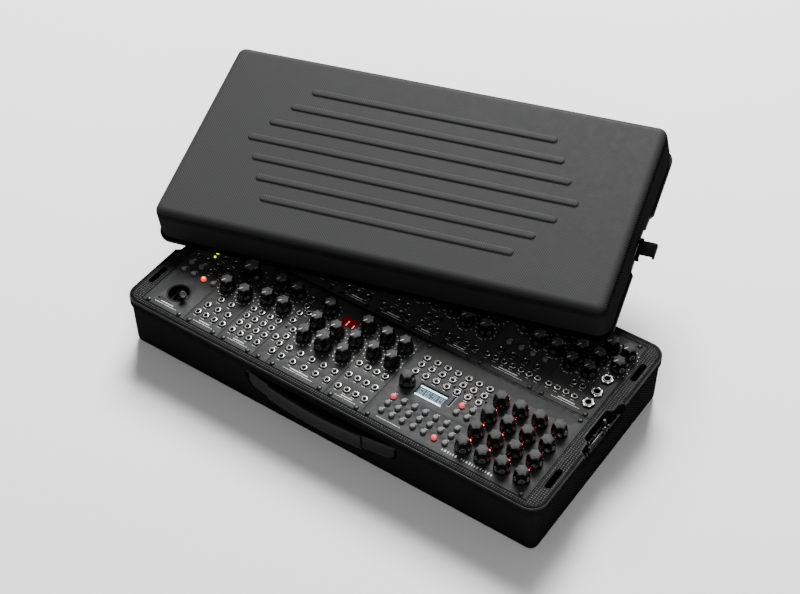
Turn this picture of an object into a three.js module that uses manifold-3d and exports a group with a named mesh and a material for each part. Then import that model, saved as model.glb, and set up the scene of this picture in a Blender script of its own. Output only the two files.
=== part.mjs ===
// Modular synthesizer in a travel case with a lift-off lid.
// Millimetres, +Z up, +X to the right along the module rows, +Y to the rear.
// Origin: centre of the case's flat underside.
import * as THREE from 'three';
import { mergeVertices } from 'three/addons/utils/BufferGeometryUtils.js';
import Module from 'manifold-3d';

// ---------------------------------------------------------------- dimensions
const HP = 5.08;                    // module width unit
const ROW_HP = 104;                 // units in one row
const PANEL_H = 128.5;              // 3U panel height
const ROW_PITCH = 133.35;           // from one row to the next
const PANEL_T = 2.0;                // panel thickness
const GAP = 0.3;                    // running gap between touching pieces
const PANEL_TOP = 75.0;             // panel surface above the underside
const X_MID = (ROW_HP * HP) / 2;    // middle of a row
const Y_MID = 130.8;                // middle of the case, from the front panel edge

const FRAME_A = 283.9, FRAME_B = 139.6;   // half width and depth of the top frame
const LIP_A = 285.5, LIP_B = 141.8;        // half width and depth over the lip band
const WALL = 3.0;                          // moulded wall
const CORNER_R = 19.4;                     // plan radius of the case corners
const FRAME_T = 2.5;                       // thickness of the top frame

const SLOT_L = 30, SLOT_W = 7;             // slots in the top frame
const SLOT_X = 274.1, SLOT_Y = [-90.8, 92.2];

const HANDLE_X = -0.5, HANDLE_HALF = 104.5;  // handle recess, middle and half length
const HANDLE_PIVOT_Z = -21.6;              // below the panel surface
const HANDLE_PIVOT_Y = -136.5;
const HANDLE_BOW = 145.8;                  // how far the middle of the strap stands forward

const LATCH_Y = -12.4;                     // middle of the keeper rod in the case
const CLIP_X = 282.6, CLIP_Y = -10.2, CLIP_Z = -46.8;   // pin of the latch clip, in the lid's frame
const CLIP_FOLD = 88;                      // degrees from standing out to folded down
const KNOB_H = 16.5, KNOB_R = 9.6;         // fluted knob
const KNOB_PITCH_X = 24.7, KNOB_PITCH_Y = 25.7;

const STICK_PIVOT = [30.7, 30.0, -13];     // joystick pivot, from the front-left panel corner
const STICK_TILT_X = 13.7, STICK_TILT_Y = 28.5;  // degrees, as it is left standing
const STICK_LEN = 26.5;

const LID_A = 285.0, LID_B = 141.0;        // half size over the lid's rim, which stands on the lip of the case
const LID_H = 53.7;                        // lid height
const LID_POS = [191.41, 274.12, 95.25];   // middle of the lid's face, from the front-left panel corner
const LID_ROT = [12.296, -1.337, 13.767];  // rotation vector, degrees

// from panel coordinates (front-left panel corner) to the part's own frame
const PX = (x) => x - X_MID;
const PY = (y) => y - Y_MID;
const PZ = (z) => z + PANEL_TOP;

// ---------------------------------------------------------------- helpers
const wasm = await Module();
wasm.setup();

const root = new THREE.Group();

function mat(colour, roughness, metalness = 0) {
  return new THREE.MeshStandardMaterial({ color: colour, roughness, metalness });
}
const M = {
  shell: () => mat(0x0b0b0c, 0.62),
  frame: () => mat(0x242526, 0.7),
  rail: () => mat(0x1b1c1d, 0.45, 0.6),
  bracket: () => mat(0x3a3b3d, 0.5, 0.8),
  panel: () => mat(0x47484a, 0.55, 0.3),
  knob: () => mat(0x070708, 0.2),
  button: () => mat(0xa9abad, 0.4),
  lit: () => mat(0xff5a4a, 0.4),
  board: () => mat(0x14301f, 0.6),
  screen: () => mat(0x8fb6c4, 0.3),
  metal: () => mat(0x8c8d90, 0.3, 1.0),
  rubber: () => mat(0x101011, 0.75),
  foam: () => mat(0x202124, 0.95),
  inlet: () => mat(0x0d0d0e, 0.4),
};

function rrect(a, b, r, z, n = 5, cx = 0, cy = 0) {
  const pts = [];
  const c = [[a - r, b - r, 0], [-(a - r), b - r, 90], [-(a - r), -(b - r), 180], [a - r, -(b - r), 270]];
  for (const [x, y, t0] of c) {
    for (let i = 0; i <= n; i++) {
      const t = ((t0 + (90 * i) / n) * Math.PI) / 180;
      pts.push([cx + x + r * Math.cos(t), cy + y + r * Math.sin(t), z]);
    }
  }
  return pts;
}
function circle(r, n, z = 0, cx = 0, cy = 0, t0 = 0) {
  return Array.from({ length: n }, (_, i) => {
    const t = t0 + (2 * Math.PI * i) / n;
    return [cx + r * Math.cos(t), cy + r * Math.sin(t), z];
  });
}
// closed body through equal rings; capped at both ends, or joined end to start
function loft(rings, closed = false) {
  const n = rings[0].length, pos = [], idx = [];
  rings.forEach((r) => r.forEach((p) => pos.push(...p)));
  const m = rings.length;
  for (let i = 0; i < (closed ? m : m - 1); i++) {
    const k = (i + 1) % m;
    for (let j = 0; j < n; j++) {
      const l = (j + 1) % n;
      const a = i * n + j, b = i * n + l, c = k * n + l, d = k * n + j;
      idx.push(a, b, c, a, c, d);
    }
  }
  if (!closed) {
    for (let j = 1; j < n - 1; j++) {
      idx.push(0, j + 1, j);
      const o = (m - 1) * n;
      idx.push(o, o + j, o + j + 1);
    }
  }
  const g = new THREE.BufferGeometry();
  g.setAttribute('position', new THREE.BufferAttribute(new Float32Array(pos), 3));
  g.setIndex(idx);
  return g;
}
// polygon with rounded corners: points [x, y, radius]
function roundPoly(points, seg = 4) {
  const out = [];
  const n = points.length;
  for (let i = 0; i < n; i++) {
    const [x, y, r = 0] = points[i];
    if (!r) { out.push([x, y]); continue; }
    const p = new THREE.Vector2(x, y);
    const a = new THREE.Vector2(...points[(i + n - 1) % n].slice(0, 2)).sub(p).normalize();
    const b = new THREE.Vector2(...points[(i + 1) % n].slice(0, 2)).sub(p).normalize();
    const half = Math.acos(Math.max(-1, Math.min(1, a.dot(b)))) / 2;
    const d = r / Math.tan(half);
    const c = p.clone().add(a.clone().add(b).normalize().multiplyScalar(r / Math.sin(half)));
    const s = p.clone().add(a.clone().multiplyScalar(d)).sub(c);
    const e = p.clone().add(b.clone().multiplyScalar(d)).sub(c);
    let t0 = Math.atan2(s.y, s.x), t1 = Math.atan2(e.y, e.x);
    let dt = t1 - t0;
    while (dt > Math.PI) dt -= 2 * Math.PI;
    while (dt < -Math.PI) dt += 2 * Math.PI;
    for (let k = 0; k <= seg; k++) {
      const t = t0 + (dt * k) / seg;
      out.push([c.x + r * Math.cos(t), c.y + r * Math.sin(t)]);
    }
  }
  return out;
}
function shapeOf(points, holes = []) {
  const s = new THREE.Shape(points.map(([x, y]) => new THREE.Vector2(x, y)));
  for (const h of holes) s.holes.push(new THREE.Path(h.map(([x, y]) => new THREE.Vector2(x, y))));
  return s;
}
function prism(points, z0, z1, holes = []) {
  const g = new THREE.ExtrudeGeometry(shapeOf(points, holes), { depth: z1 - z0, bevelEnabled: false, steps: 1 });
  g.translate(0, 0, z0);
  return g;
}
const box2 = (x0, y0, x1, y1) => [[x0, y0], [x1, y0], [x1, y1], [x0, y1]];
function box(x0, y0, z0, x1, y1, z1) {
  const g = new THREE.BoxGeometry(x1 - x0, y1 - y0, z1 - z0);
  g.translate((x0 + x1) / 2, (y0 + y1) / 2, (z0 + z1) / 2);
  return g;
}
// profile drawn in Y and Z, drawn out along X
function alongX(points, x0, x1, holes = []) {
  const g = prism(points, 0, x1 - x0, holes);
  g.applyMatrix4(new THREE.Matrix4().makeBasis(new THREE.Vector3(0, 1, 0), new THREE.Vector3(0, 0, 1), new THREE.Vector3(1, 0, 0)));
  g.translate(x0, 0, 0);
  return g;
}
// profile drawn in X and Z, drawn out along -Y from y1 to y0
function alongY(points, y0, y1) {
  const g = prism(points, 0, y1 - y0);
  g.applyMatrix4(new THREE.Matrix4().makeBasis(new THREE.Vector3(1, 0, 0), new THREE.Vector3(0, 0, 1), new THREE.Vector3(0, -1, 0)));
  g.translate(0, y1, 0);
  return g;
}
function rod(r, a, b, n = 10) {
  const A = new THREE.Vector3(...a), B = new THREE.Vector3(...b);
  const g = new THREE.CylinderGeometry(r, r, A.distanceTo(B), n);
  g.applyQuaternion(new THREE.Quaternion().setFromUnitVectors(new THREE.Vector3(0, 1, 0), B.clone().sub(A).normalize()));
  g.translate((A.x + B.x) / 2, (A.y + B.y) / 2, (A.z + B.z) / 2);
  return g;
}
function solid(geo) {
  const g = geo.clone();
  g.deleteAttribute('normal');
  g.deleteAttribute('uv');
  const m = mergeVertices(g, 1e-4);
  const index = m.index ? m.index.array : Array.from({ length: m.attributes.position.count }, (_, i) => i);
  return new wasm.Manifold(new wasm.Mesh({
    numProp: 3,
    vertProperties: new Float32Array(m.attributes.position.array),
    triVerts: new Uint32Array(index),
  }));
}
function fromSolid(man) {
  const me = man.getMesh();
  const g = new THREE.BufferGeometry();
  g.setAttribute('position', new THREE.BufferAttribute(new Float32Array(me.vertProperties), 3));
  g.setIndex(new THREE.BufferAttribute(new Uint32Array(me.triVerts), 1));
  return g;
}
function join(...geos) {
  let s = solid(geos[0]);
  for (const g of geos.slice(1)) s = s.add(solid(g));
  return s;
}
function cut(man, ...geos) {
  let s = man;
  for (const g of geos) s = s.subtract(solid(g));
  return s;
}
function add(name, geo, material, parent = root) {
  const mesh = new THREE.Mesh(geo instanceof THREE.BufferGeometry ? geo : fromSolid(geo), material);
  mesh.geometry.computeVertexNormals();
  mesh.name = name;
  parent.add(mesh);
  return mesh;
}

// ---------------------------------------------------------------- lower case
{
  const r = CORNER_R;
  const top = PANEL_TOP;
  const rings = [
    rrect(274.0, 129.6, 3, 0),
    rrect(277.4, 133.0, 5.5, 1.0),
    rrect(280.0, 135.6, 8, 3.6),
    rrect(281.1, 136.7, 9.3, 7.1),
    rrect(283.6, 139.9, 17.3, top - 12.3),
    rrect(285.2, 141.5, 19.2, top - 12.0),
    rrect(LIP_A, LIP_B, r, top - 11.4),
    rrect(LIP_A, LIP_B, r, top - 1.8),
    rrect(284.9, 141.2, r - 0.5, top - 0.5),
    rrect(FRAME_A + GAP, FRAME_B + GAP, 18.3, top - 0.6),
    rrect(FRAME_A + GAP, FRAME_B + GAP, 18.3, top - FRAME_T - GAP),
    rrect(280.8, 136.9, 15, top - FRAME_T - GAP),
    rrect(278.2, 133.8, 7, 9),
    rrect(273.5, 129.0, 4, 3.2),
  ];
  let shell = solid(loft(rings));
  // handle pocket, moulded into the front wall
  const hx0 = HANDLE_X - HANDLE_HALF, hx1 = HANDLE_X + HANDLE_HALF;
  const hz0 = PZ(-42.5), hz1 = PZ(-15.9);
  shell = shell.add(solid(box(hx0 - 8, -136.8, hz0 - 3, hx1 + 8, -111.0, hz1 + 1.5)));
  const pocket = roundPoly([[hx0, hz0, 12], [hx1, hz0, 12], [hx1, hz1, 12], [hx0, hz1, 12]], 4);
  shell = cut(shell, alongY(pocket, -160, -114.0),
    rod(2.3, [hx0 - 4.5, HANDLE_PIVOT_Y, PZ(HANDLE_PIVOT_Z)], [hx1 + 4.5, HANDLE_PIVOT_Y, PZ(HANDLE_PIVOT_Z)], 10));
  // latch pockets in the two short sides
  for (const s of [1, -1]) {
    const blk = box(268.6, -49, PZ(-28), 282.2, 47.5, top - FRAME_T - GAP);
    const v1 = roundPoly([[279.0, -44.8, 3], [300, -44.8, 0], [300, 43, 0], [279.0, 43, 3]], 3);
    const v2 = roundPoly([[271.8, -24.8, 3], [281.0, -24.8, 0], [281.0, 24.2, 0], [271.8, 24.2, 3]], 3);
    const b = solid(blk), c1 = solid(prism(v1, PZ(-15), PZ(12))), c2 = solid(prism(v2, PZ(-24), PZ(12)));
    const w = s > 0 ? (m) => m : (m) => m.mirror([1, 0, 0]);
    shell = shell.add(w(b)).subtract(w(c1)).subtract(w(c2));
  }
  // cut-out for the power plate in the rear wall
  shell = cut(shell, box(150, 128, 20.5, 214, 150, 39.5));
  add('base_shell', shell, M.shell());
}

// ---------------------------------------------------------------- top frame
{
  const A = FRAME_A, B = FRAME_B, r = 18;
  const side = (s) => {
    // outline of one short side from front to rear, with the stepped latch notch
    const p = [
      [A, -44.6, 1.5], [279.2, -41.6, 2.5], [278.6, -27.4, 3], [272.1, -24.4, 3],
      [272.1, 23.8, 4], [278.6, 26.6, 3], [279.2, 39.6, 2.5], [A, 42.6, 1.5],
    ];
    return s > 0 ? p : p.map(([x, y, q]) => [-x, y, q]).reverse();
  };
  const outline = roundPoly([
    [-A, -B, r], [A, -B, r], ...side(1), [A, B, r], [-A, B, r], ...side(-1),
  ], 5);
  const holes = [box2(-264.6, PY(-0.8), 264.6, PY(262.7))];
  for (const sx of [-1, 1]) {
    for (const y of SLOT_Y) {
      const h = SLOT_L / 2, w = SLOT_W / 2;
      holes.push(roundPoly([[sx * SLOT_X - w, y - h, w - 0.01], [sx * SLOT_X + w, y - h, w - 0.01], [sx * SLOT_X + w, y + h, w - 0.01], [sx * SLOT_X - w, y + h, w - 0.01]], 3));
    }
  }
  add('top_frame', prism(outline, PANEL_TOP - FRAME_T, PANEL_TOP, holes), M.frame());
}

// ---------------------------------------------------------------- rails and brackets
{
  const z = PZ;
  const front = [[-0.2, z(-14)], [8.5, z(-14)], [8.5, z(-2.3)], [4.6, z(-2.3)], [4.6, z(-8)], [1.6, z(-8)], [1.6, z(-2.3)], [-0.2, z(-2.3)]];
  const midFront = [[120.0, z(-14)], [130.6, z(-14)], [130.6, z(-0.6)], [128.95, z(-0.6)], [128.95, z(-2.3)], [127.1, z(-2.3)], [127.1, z(-8)], [124.1, z(-8)], [124.1, z(-2.3)], [120.0, z(-2.3)]];
  const midRear = midFront.map(([y, q]) => [261.85 - y, q]).reverse();
  const rear = front.map(([y, q]) => [261.85 - y, q]).reverse();
  const rail = (name, p) => add(name, alongX(p.map(([y, q]) => [PY(y), q]), PX(0.3), PX(ROW_HP * HP - 0.3)), M.rail());
  rail('rail_front', front);
  rail('rail_middle_front', midFront);
  rail('rail_middle_rear', midRear);
  rail('rail_rear', rear);
  for (const [name, x0] of [['rail_bracket_left', -267.4], ['rail_bracket_right', 264.4]]) {
    const p = roundPoly([[-129, 3.6, 6], [129, 3.6, 6], [131.2, 12, 3], [131.2, PZ(-3), 0], [-131.2, PZ(-3), 0], [-131.2, 12, 3]], 2);
    const win = [-90, -30, 30, 90].map((y) => roundPoly([[y - 21, 15, 5], [y + 21, 15, 5], [y + 21, 52, 5], [y - 21, 52, 5]], 2));
    add(name, alongX(p, x0, x0 + 3, win), M.bracket());
  }
}

// ---------------------------------------------------------------- modules
const screwX = (h0, h1) => (h1 - h0 < 6 ? [h0 * HP + 7.5] : [h0 * HP + 7.5, h1 * HP - 7.74]);
function panel(name, h0, h1, row, holes = []) {
  const x0 = h0 * HP + GAP / 2, x1 = h1 * HP - GAP / 2, y0 = row * ROW_PITCH;
  const all = [...holes];
  for (const x of screwX(h0, h1)) for (const y of [y0 + 3, y0 + PANEL_H - 3]) all.push(circle(1.7, 8, 0, x, y).map(([a, b]) => [a, b]));
  const T = (pts) => pts.map(([x, y]) => [PX(x), PY(y)]);
  return add(name, prism(T(box2(x0, y0, x1, y0 + PANEL_H)), PZ(-PANEL_T), PZ(0), all.map(T)), M.panel());
}
const hole = (x, y, r, n = 8) => circle(r, n, 0, x, y, Math.PI / n).map(([a, b]) => [a, b]);

const KNOBS = [];
for (let j = 3; j >= 0; j--) for (let i = 0; i < 4; i++) KNOBS.push([436.4 + i * KNOB_PITCH_X, 20.3 + j * KNOB_PITCH_Y]);
const ENCODER = [333.4, 64.6];
const SEQ_BUTTONS = [[332.3, 39.2], [402.3, 70.2]];
const JOY_BUTTON = [40.8, 63.8];
const JACKS_63 = [[515.3, 151.6], [515.3, 170.4], [515.3, 193.2]];

panel('joystick_module_panel', 0, 12, 0, [hole(STICK_PIVOT[0], STICK_PIVOT[1], 12.9, 20), hole(...JOY_BUTTON, 3.3, 10)]);
panel('modulator_module_panel', 12, 22, 0);
panel('mixer_module_panel', 22, 32, 0);
panel('link_module_panel', 32, 36, 0);
panel('voice_module_panel', 36, 52, 0, [box2(216.4, 95.6, 233.4, 107.6)]);
panel('filter_module_panel', 52, 62, 0);
panel('sequencer_module_panel', 62, 104, 0, [
  ...KNOBS.map(([x, y]) => hole(x, y, 3.7)),
  hole(...ENCODER, 3.7),
  ...SEQ_BUTTONS.map(([x, y]) => hole(x, y, 3.3, 10)),
  box2(346.3, 55.8, 383.3, 74.6),
  box2(388.9, 62.2, 390.5, 78.0),
]);
panel('rear_module_1_panel', 0, 36, 1);
panel('rear_module_2_panel', 36, 46, 1);
panel('rear_module_3_panel', 46, 56, 1);
panel('rear_module_4_panel', 56, 64, 1);
panel('rear_module_5_panel', 64, 74, 1);
panel('rear_module_6_panel', 74, 90, 1);
panel('output_module_panel', 90, 104, 1, JACKS_63.map(([x, y]) => hole(x, y, 4.6, 12)));

// ---------------------------------------------------------------- boards behind the panels
{
  const z0 = PZ(-13), z1 = PZ(-11.4);
  // front row, with a cut-out for the joystick housing
  let b = solid(prism([[PX(1), PY(10)], [PX(9), PY(10)], [PX(9), PY(51)], [PX(53), PY(51)], [PX(53), PY(10)], [PX(527), PY(10)], [PX(527), PY(118)], [PX(1), PY(118)]], z0, z1));
  const zp = PZ(-8.2);
  for (const [x, y] of [...KNOBS, ENCODER]) b = b.add(solid(box(PX(x - 5), PY(y - 6), z0 + 0.5, PX(x + 5), PY(y + 5), zp)));
  for (const [x, y] of [...SEQ_BUTTONS, JOY_BUTTON]) b = b.add(solid(box(PX(x - 3), PY(y - 3), z0 + 0.5, PX(x + 3), PY(y + 3), zp)));
  for (const [x0, y0, x1, y1] of [[325, 79, 421, 113], [267, 13, 313, 63], [187, 13, 261, 37], [165, 15, 181, 113], [116, 14, 160, 63], [65, 14, 109, 53], [6, 74, 60, 110]]) {
    b = b.add(solid(box(PX(x0), PY(y0), z0 + 0.5, PX(x1), PY(y1), PZ(-2.6))));
  }
  add('front_row_boards', b, M.board());
  // rear row, with the wells of the large output jacks
  let c = solid(box(PX(1), PY(143.4), z0, PX(527), PY(251.4), z1));
  for (const [x0, y0, x1, y1] of [[188, 145, 460, 158], [388, 160, 446, 172], [465, 145, 500, 175], [8, 146, 174, 172]]) {
    c = c.add(solid(box(PX(x0), PY(y0), z0 + 0.5, PX(x1), PY(y1), PZ(-2.6))));
  }
  for (const [x, y] of JACKS_63) {
    c = c.add(solid(rod(8.2, [PX(x), PY(y), PZ(-28)], [PX(x), PY(y), PZ(-2.6)], 12)));
  }
  for (const [x, y] of JACKS_63) c = c.subtract(solid(rod(3.7, [PX(x), PY(y), PZ(-26)], [PX(x), PY(y), PZ(1)], 12)));
  add('rear_row_boards', c, M.board());
}

// ---------------------------------------------------------------- display of the sequencer
add('sequencer_display', join(
  box(PX(343.5), PY(53.6), PZ(-10.8), PX(386.0), PY(76.8), PZ(-2.3)),
  box(PX(346.6), PY(56.1), PZ(-3), PX(383.0), PY(74.3), PZ(-1.2)),
), M.screen());

// ---------------------------------------------------------------- knobs
function fluted(r, z, depth, n = 18, flutes = 6, phase = 0) {
  return Array.from({ length: n }, (_, i) => {
    const t = (2 * Math.PI * i) / n;
    const k = Math.max(0, Math.cos(flutes * (t - phase)));
    const q = r - depth * k;
    return [q * Math.cos(t), q * Math.sin(t), z];
  });
}
function knobGeometry() {
  const shaft = 3.0;
  return loft([
    circle(shaft, 18, -7.2), circle(shaft, 18, 0.5),
    circle(KNOB_R - 0.5, 18, 0.5), circle(KNOB_R, 18, 2.4),
    fluted(KNOB_R - 0.2, 4.8, 0.4), fluted(KNOB_R - 1.0, 10.5, 1.4), fluted(KNOB_R - 2.0, KNOB_H - 0.8, 1.6), fluted(KNOB_R - 2.7, KNOB_H, 1.6),
  ]);
}
function knob(name, x, y, turn = 0) {
  const m = add(name, knobGeometry(), M.knob());
  m.position.set(PX(x), PY(y), PZ(0));
  m.rotation.z = turn;
  return m;
}
KNOBS.forEach(([x, y], i) => knob(`sequencer_knob_${String(i + 1).padStart(2, '0')}`, x, y));
knob('sequencer_encoder_knob', ...ENCODER);

// ---------------------------------------------------------------- push buttons
function button(name, x, y, material) {
  const p = [[0, -6.4], [2.0, -6.4], [2.0, -3.4], [2.9, -3.4], [2.9, 3.0], [2.5, 4.2], [1.4, 4.8], [0, 5.0]];
  const g = new THREE.LatheGeometry(p.map(([a, b]) => new THREE.Vector2(a, b)), 12);
  g.rotateX(Math.PI / 2);
  const m = add(name, g, material);
  m.position.set(PX(x), PY(y), PZ(0));
}
button('sequencer_record_button', ...SEQ_BUTTONS[0], M.lit());
button('sequencer_play_button', ...SEQ_BUTTONS[1], M.lit());
button('joystick_mode_button', ...JOY_BUTTON, M.lit());

// ---------------------------------------------------------------- joystick
{
  const [px, py, pz] = STICK_PIVOT;
  const c = new THREE.Vector3(PX(px), PY(py), PZ(pz));
  // housing: square box, open at the top
  let h = join(box(c.x - 17, c.y - 17, c.z - 15, c.x + 17, c.y + 17, PZ(-2.3)));
  h = cut(h, box(c.x - 15, c.y - 15, c.z - 13, c.x + 15, c.y + 15, PZ(5)),
    rod(1.7, [c.x - 20, c.y, c.z], [c.x + 20, c.y, c.z], 10));
  add('joystick_housing', h, M.inlet());
  // gimbal ring, turns about X
  const gimbal = new THREE.Group();
  gimbal.position.copy(c);
  gimbal.rotation.x = THREE.MathUtils.degToRad(STICK_TILT_X);
  root.add(gimbal);
  let ring = join(box(-12, -10, -2, 12, 10, 2), rod(1.3, [-16.6, 0, 0], [16.6, 0, 0], 10));
  ring = cut(ring, box(-8, -6.5, -5, 8, 6.5, 5), rod(1.7, [0, -14, 0], [0, 14, 0], 10));
  add('joystick_gimbal', ring, M.metal(), gimbal);
  // stick, turns about the ring's own Y
  const tilt = new THREE.Group();
  tilt.rotation.y = THREE.MathUtils.degToRad(STICK_TILT_Y);
  gimbal.add(tilt);
  const prof = [[0, -5], [3.4, -4.2], [4.6, -1.5], [4.6, 1.5], [3.4, 4.2], [1.75, 6.0], [1.75, STICK_LEN - 7], [2.9, STICK_LEN - 5.2], [4.6, STICK_LEN - 4], [4.9, STICK_LEN - 2], [4.2, STICK_LEN - 0.5], [2.6, STICK_LEN], [0, STICK_LEN]];
  const g = new THREE.LatheGeometry(prof.map(([a, b]) => new THREE.Vector2(a, b)), 14);
  g.rotateX(Math.PI / 2);
  add('joystick_stick', join(g, rod(1.3, [0, -9.4, 0], [0, 9.4, 0], 10)), M.rubber(), tilt);
}

// ---------------------------------------------------------------- carrying handle
{
  // the strap lies in the recess and bows forward in the middle
  const bow = (x) => -HANDLE_BOW + (HANDLE_BOW + HANDLE_PIVOT_Y) * ((x - HANDLE_X) / 101.5) ** 2;
  // upright section across the strap at x: half thickness t, from z0 to z1, corner radius q
  const section = (x, t, z0, z1, q, n = 2) => {
    const cz = (z0 + z1) / 2, hz = (z1 - z0) / 2;
    return rrect(t, hz, Math.min(q, t * 0.98, hz * 0.98), 0, n).map(([y, z]) => [x, bow(x) + y, cz + z]);
  };
  const zt = PZ(-19.3), zb = PZ(-41.0), end = 101.5, er = 9.5;
  const strapRing = (x, g = 0) => {
    const d = end - Math.abs(x - HANDLE_X);
    const q = d < er ? er - Math.sqrt(Math.max(0, er * er - (er - d) ** 2)) : 0;
    return section(x, 1.7 + g, zb + q * 0.95 - g, zt - q * 0.35 + g, 1.0);
  };
  const xs = [];
  for (const d of [0, 0.7, 2.4, 5.2, 9.5]) xs.push(-end + d);
  for (let k = -8; k <= 8; k++) xs.push(k * 10.6);
  for (const d of [9.5, 5.2, 2.4, 0.7, 0]) xs.push(end - d);
  let strap = solid(loft(xs.map((x) => strapRing(HANDLE_X + x))));
  const y = HANDLE_PIVOT_Y, z = PZ(HANDLE_PIVOT_Z);
  for (const s of [-1, 1]) {
    const p = [HANDLE_X + s * 96, bow(HANDLE_X + s * 96), z], q = [HANDLE_X + s * 99.5, y, z], e = [HANDLE_X + s * 108.0, y, z];
    strap = strap.add(solid(rod(1.9, s < 0 ? e : q, s < 0 ? q : e, 10)));
  }
  add('handle_strap', strap, M.rubber());
  const grip0 = -70, grip1 = 61;
  const gs = [];
  for (let k = 0; k <= 12; k++) gs.push(grip0 + ((grip1 - grip0) * k) / 12);
  const gripRing = (x, inset) => section(x, 4.1 - inset, PZ(-42.0) + inset, PZ(-18.0) - inset, 3.0, 3);
  let grip = solid(loft([gripRing(grip0, 0.8), ...gs.map((x, k) => gripRing(k === 0 ? grip0 + 0.8 : k === 12 ? grip1 - 0.8 : x, 0)), gripRing(grip1, 0.8)]));
  const gx = [];
  for (let k = 0; k <= 14; k++) gx.push(grip0 - 3 + ((grip1 - grip0 + 6) * k) / 14);
  grip = grip.subtract(solid(loft(gx.map((x) => section(x, 2.15, zb - 0.35, zt + 0.35, 1.2)))));
  add('handle_grip', grip, M.rubber());
}

// ---------------------------------------------------------------- latch keepers of the case
for (const [name, s] of [['latch_keeper_right', 1], ['latch_keeper_left', -1]]) {
  const x = 281.1, z = PZ(-8), y0 = LATCH_Y - 14, y1 = LATCH_Y + 14;
  let k = join(
    rod(1.5, [x, y0 - 1, z], [x, y1 + 1, z], 10),
    box(279.4, y0 - 3.4, PZ(-14.7), 283.3, y0, z + 2.4),
    box(279.4, y1, PZ(-14.7), 283.3, y1 + 3.4, z + 2.4),
    box(281.3, y0 - 3.4, PZ(-14.7), 283.3, y1 + 3.4, PZ(-12.9)),
  ).add(solid(rod(2.7, [x + 0.9, y1 + 2, z + 0.6], [x + 0.9, y1 + 5.4, z + 0.6], 10)));
  if (s < 0) k = k.mirror([1, 0, 0]);
  add(name, k, M.metal());
}

// ---------------------------------------------------------------- power supply, inlet and switch
{
  const z = 4.0;
  let p = solid(box(-150, 20, z + 6, 60, 110, z + 7.6));
  for (const [x, y] of [[-144, 26], [54, 26], [-144, 104], [54, 104]]) p = p.add(solid(rod(3, [x, y, z - 0.5], [x, y, z + 6.4], 8)));
  for (const b of [[-140, 60, -90, 105, 30], [-80, 66, -50, 104, 26], [-40, 70, -14, 104, 30], [-6, 84, 50, 90, 17], [-6, 70, 50, 76, 17], [-130, 28, 40, 36, 19], [-130, 44, 40, 52, 19]]) {
    p = p.add(solid(box(b[0], b[1], z + 6.5, b[2], b[3], b[4])));
  }
  add('power_supply_board', p, M.board());

  let q = join(
    alongX([[137.65, 18], [141.2, 18], [141.2, 42], [139.05, 42]], 146, 218),
    box(158, 124, 21.5, 172, 139.8, 38.5),
    rod(6.5, [196, 124, 30], [196, 139.8, 30], 14),
    rod(8.6, [196, 139.8, 30], [196, 142.1, 30], 14),
  );
  q = cut(q,
    box(159.6, 127, 23.0, 170.4, 150, 37.0),
    rod(3.4, [196, 127, 30], [196, 150, 30], 14),
    rod(1.35, [157, 138.7, 30], [173, 138.7, 30], 8));
  add('power_inlet', q, M.inlet());

  const rock = roundPoly([[-6.5, -3.2, 0], [-1, -6.2, 0], [3.2, -6.5, 0.8], [1.8, 0, 0], [3.2, 6.5, 0.8], [-1, 6.2, 0], [-6.5, 3.2, 0]], 2);
  const r = join(alongX(rock, -4.9, 4.9), rod(1.1, [-6.2, 0, 0], [6.2, 0, 0], 8));
  const m = add('power_switch', r, M.inlet());
  m.position.set(165, 138.7, 30);
  m.rotation.x = THREE.MathUtils.degToRad(7);
}

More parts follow.
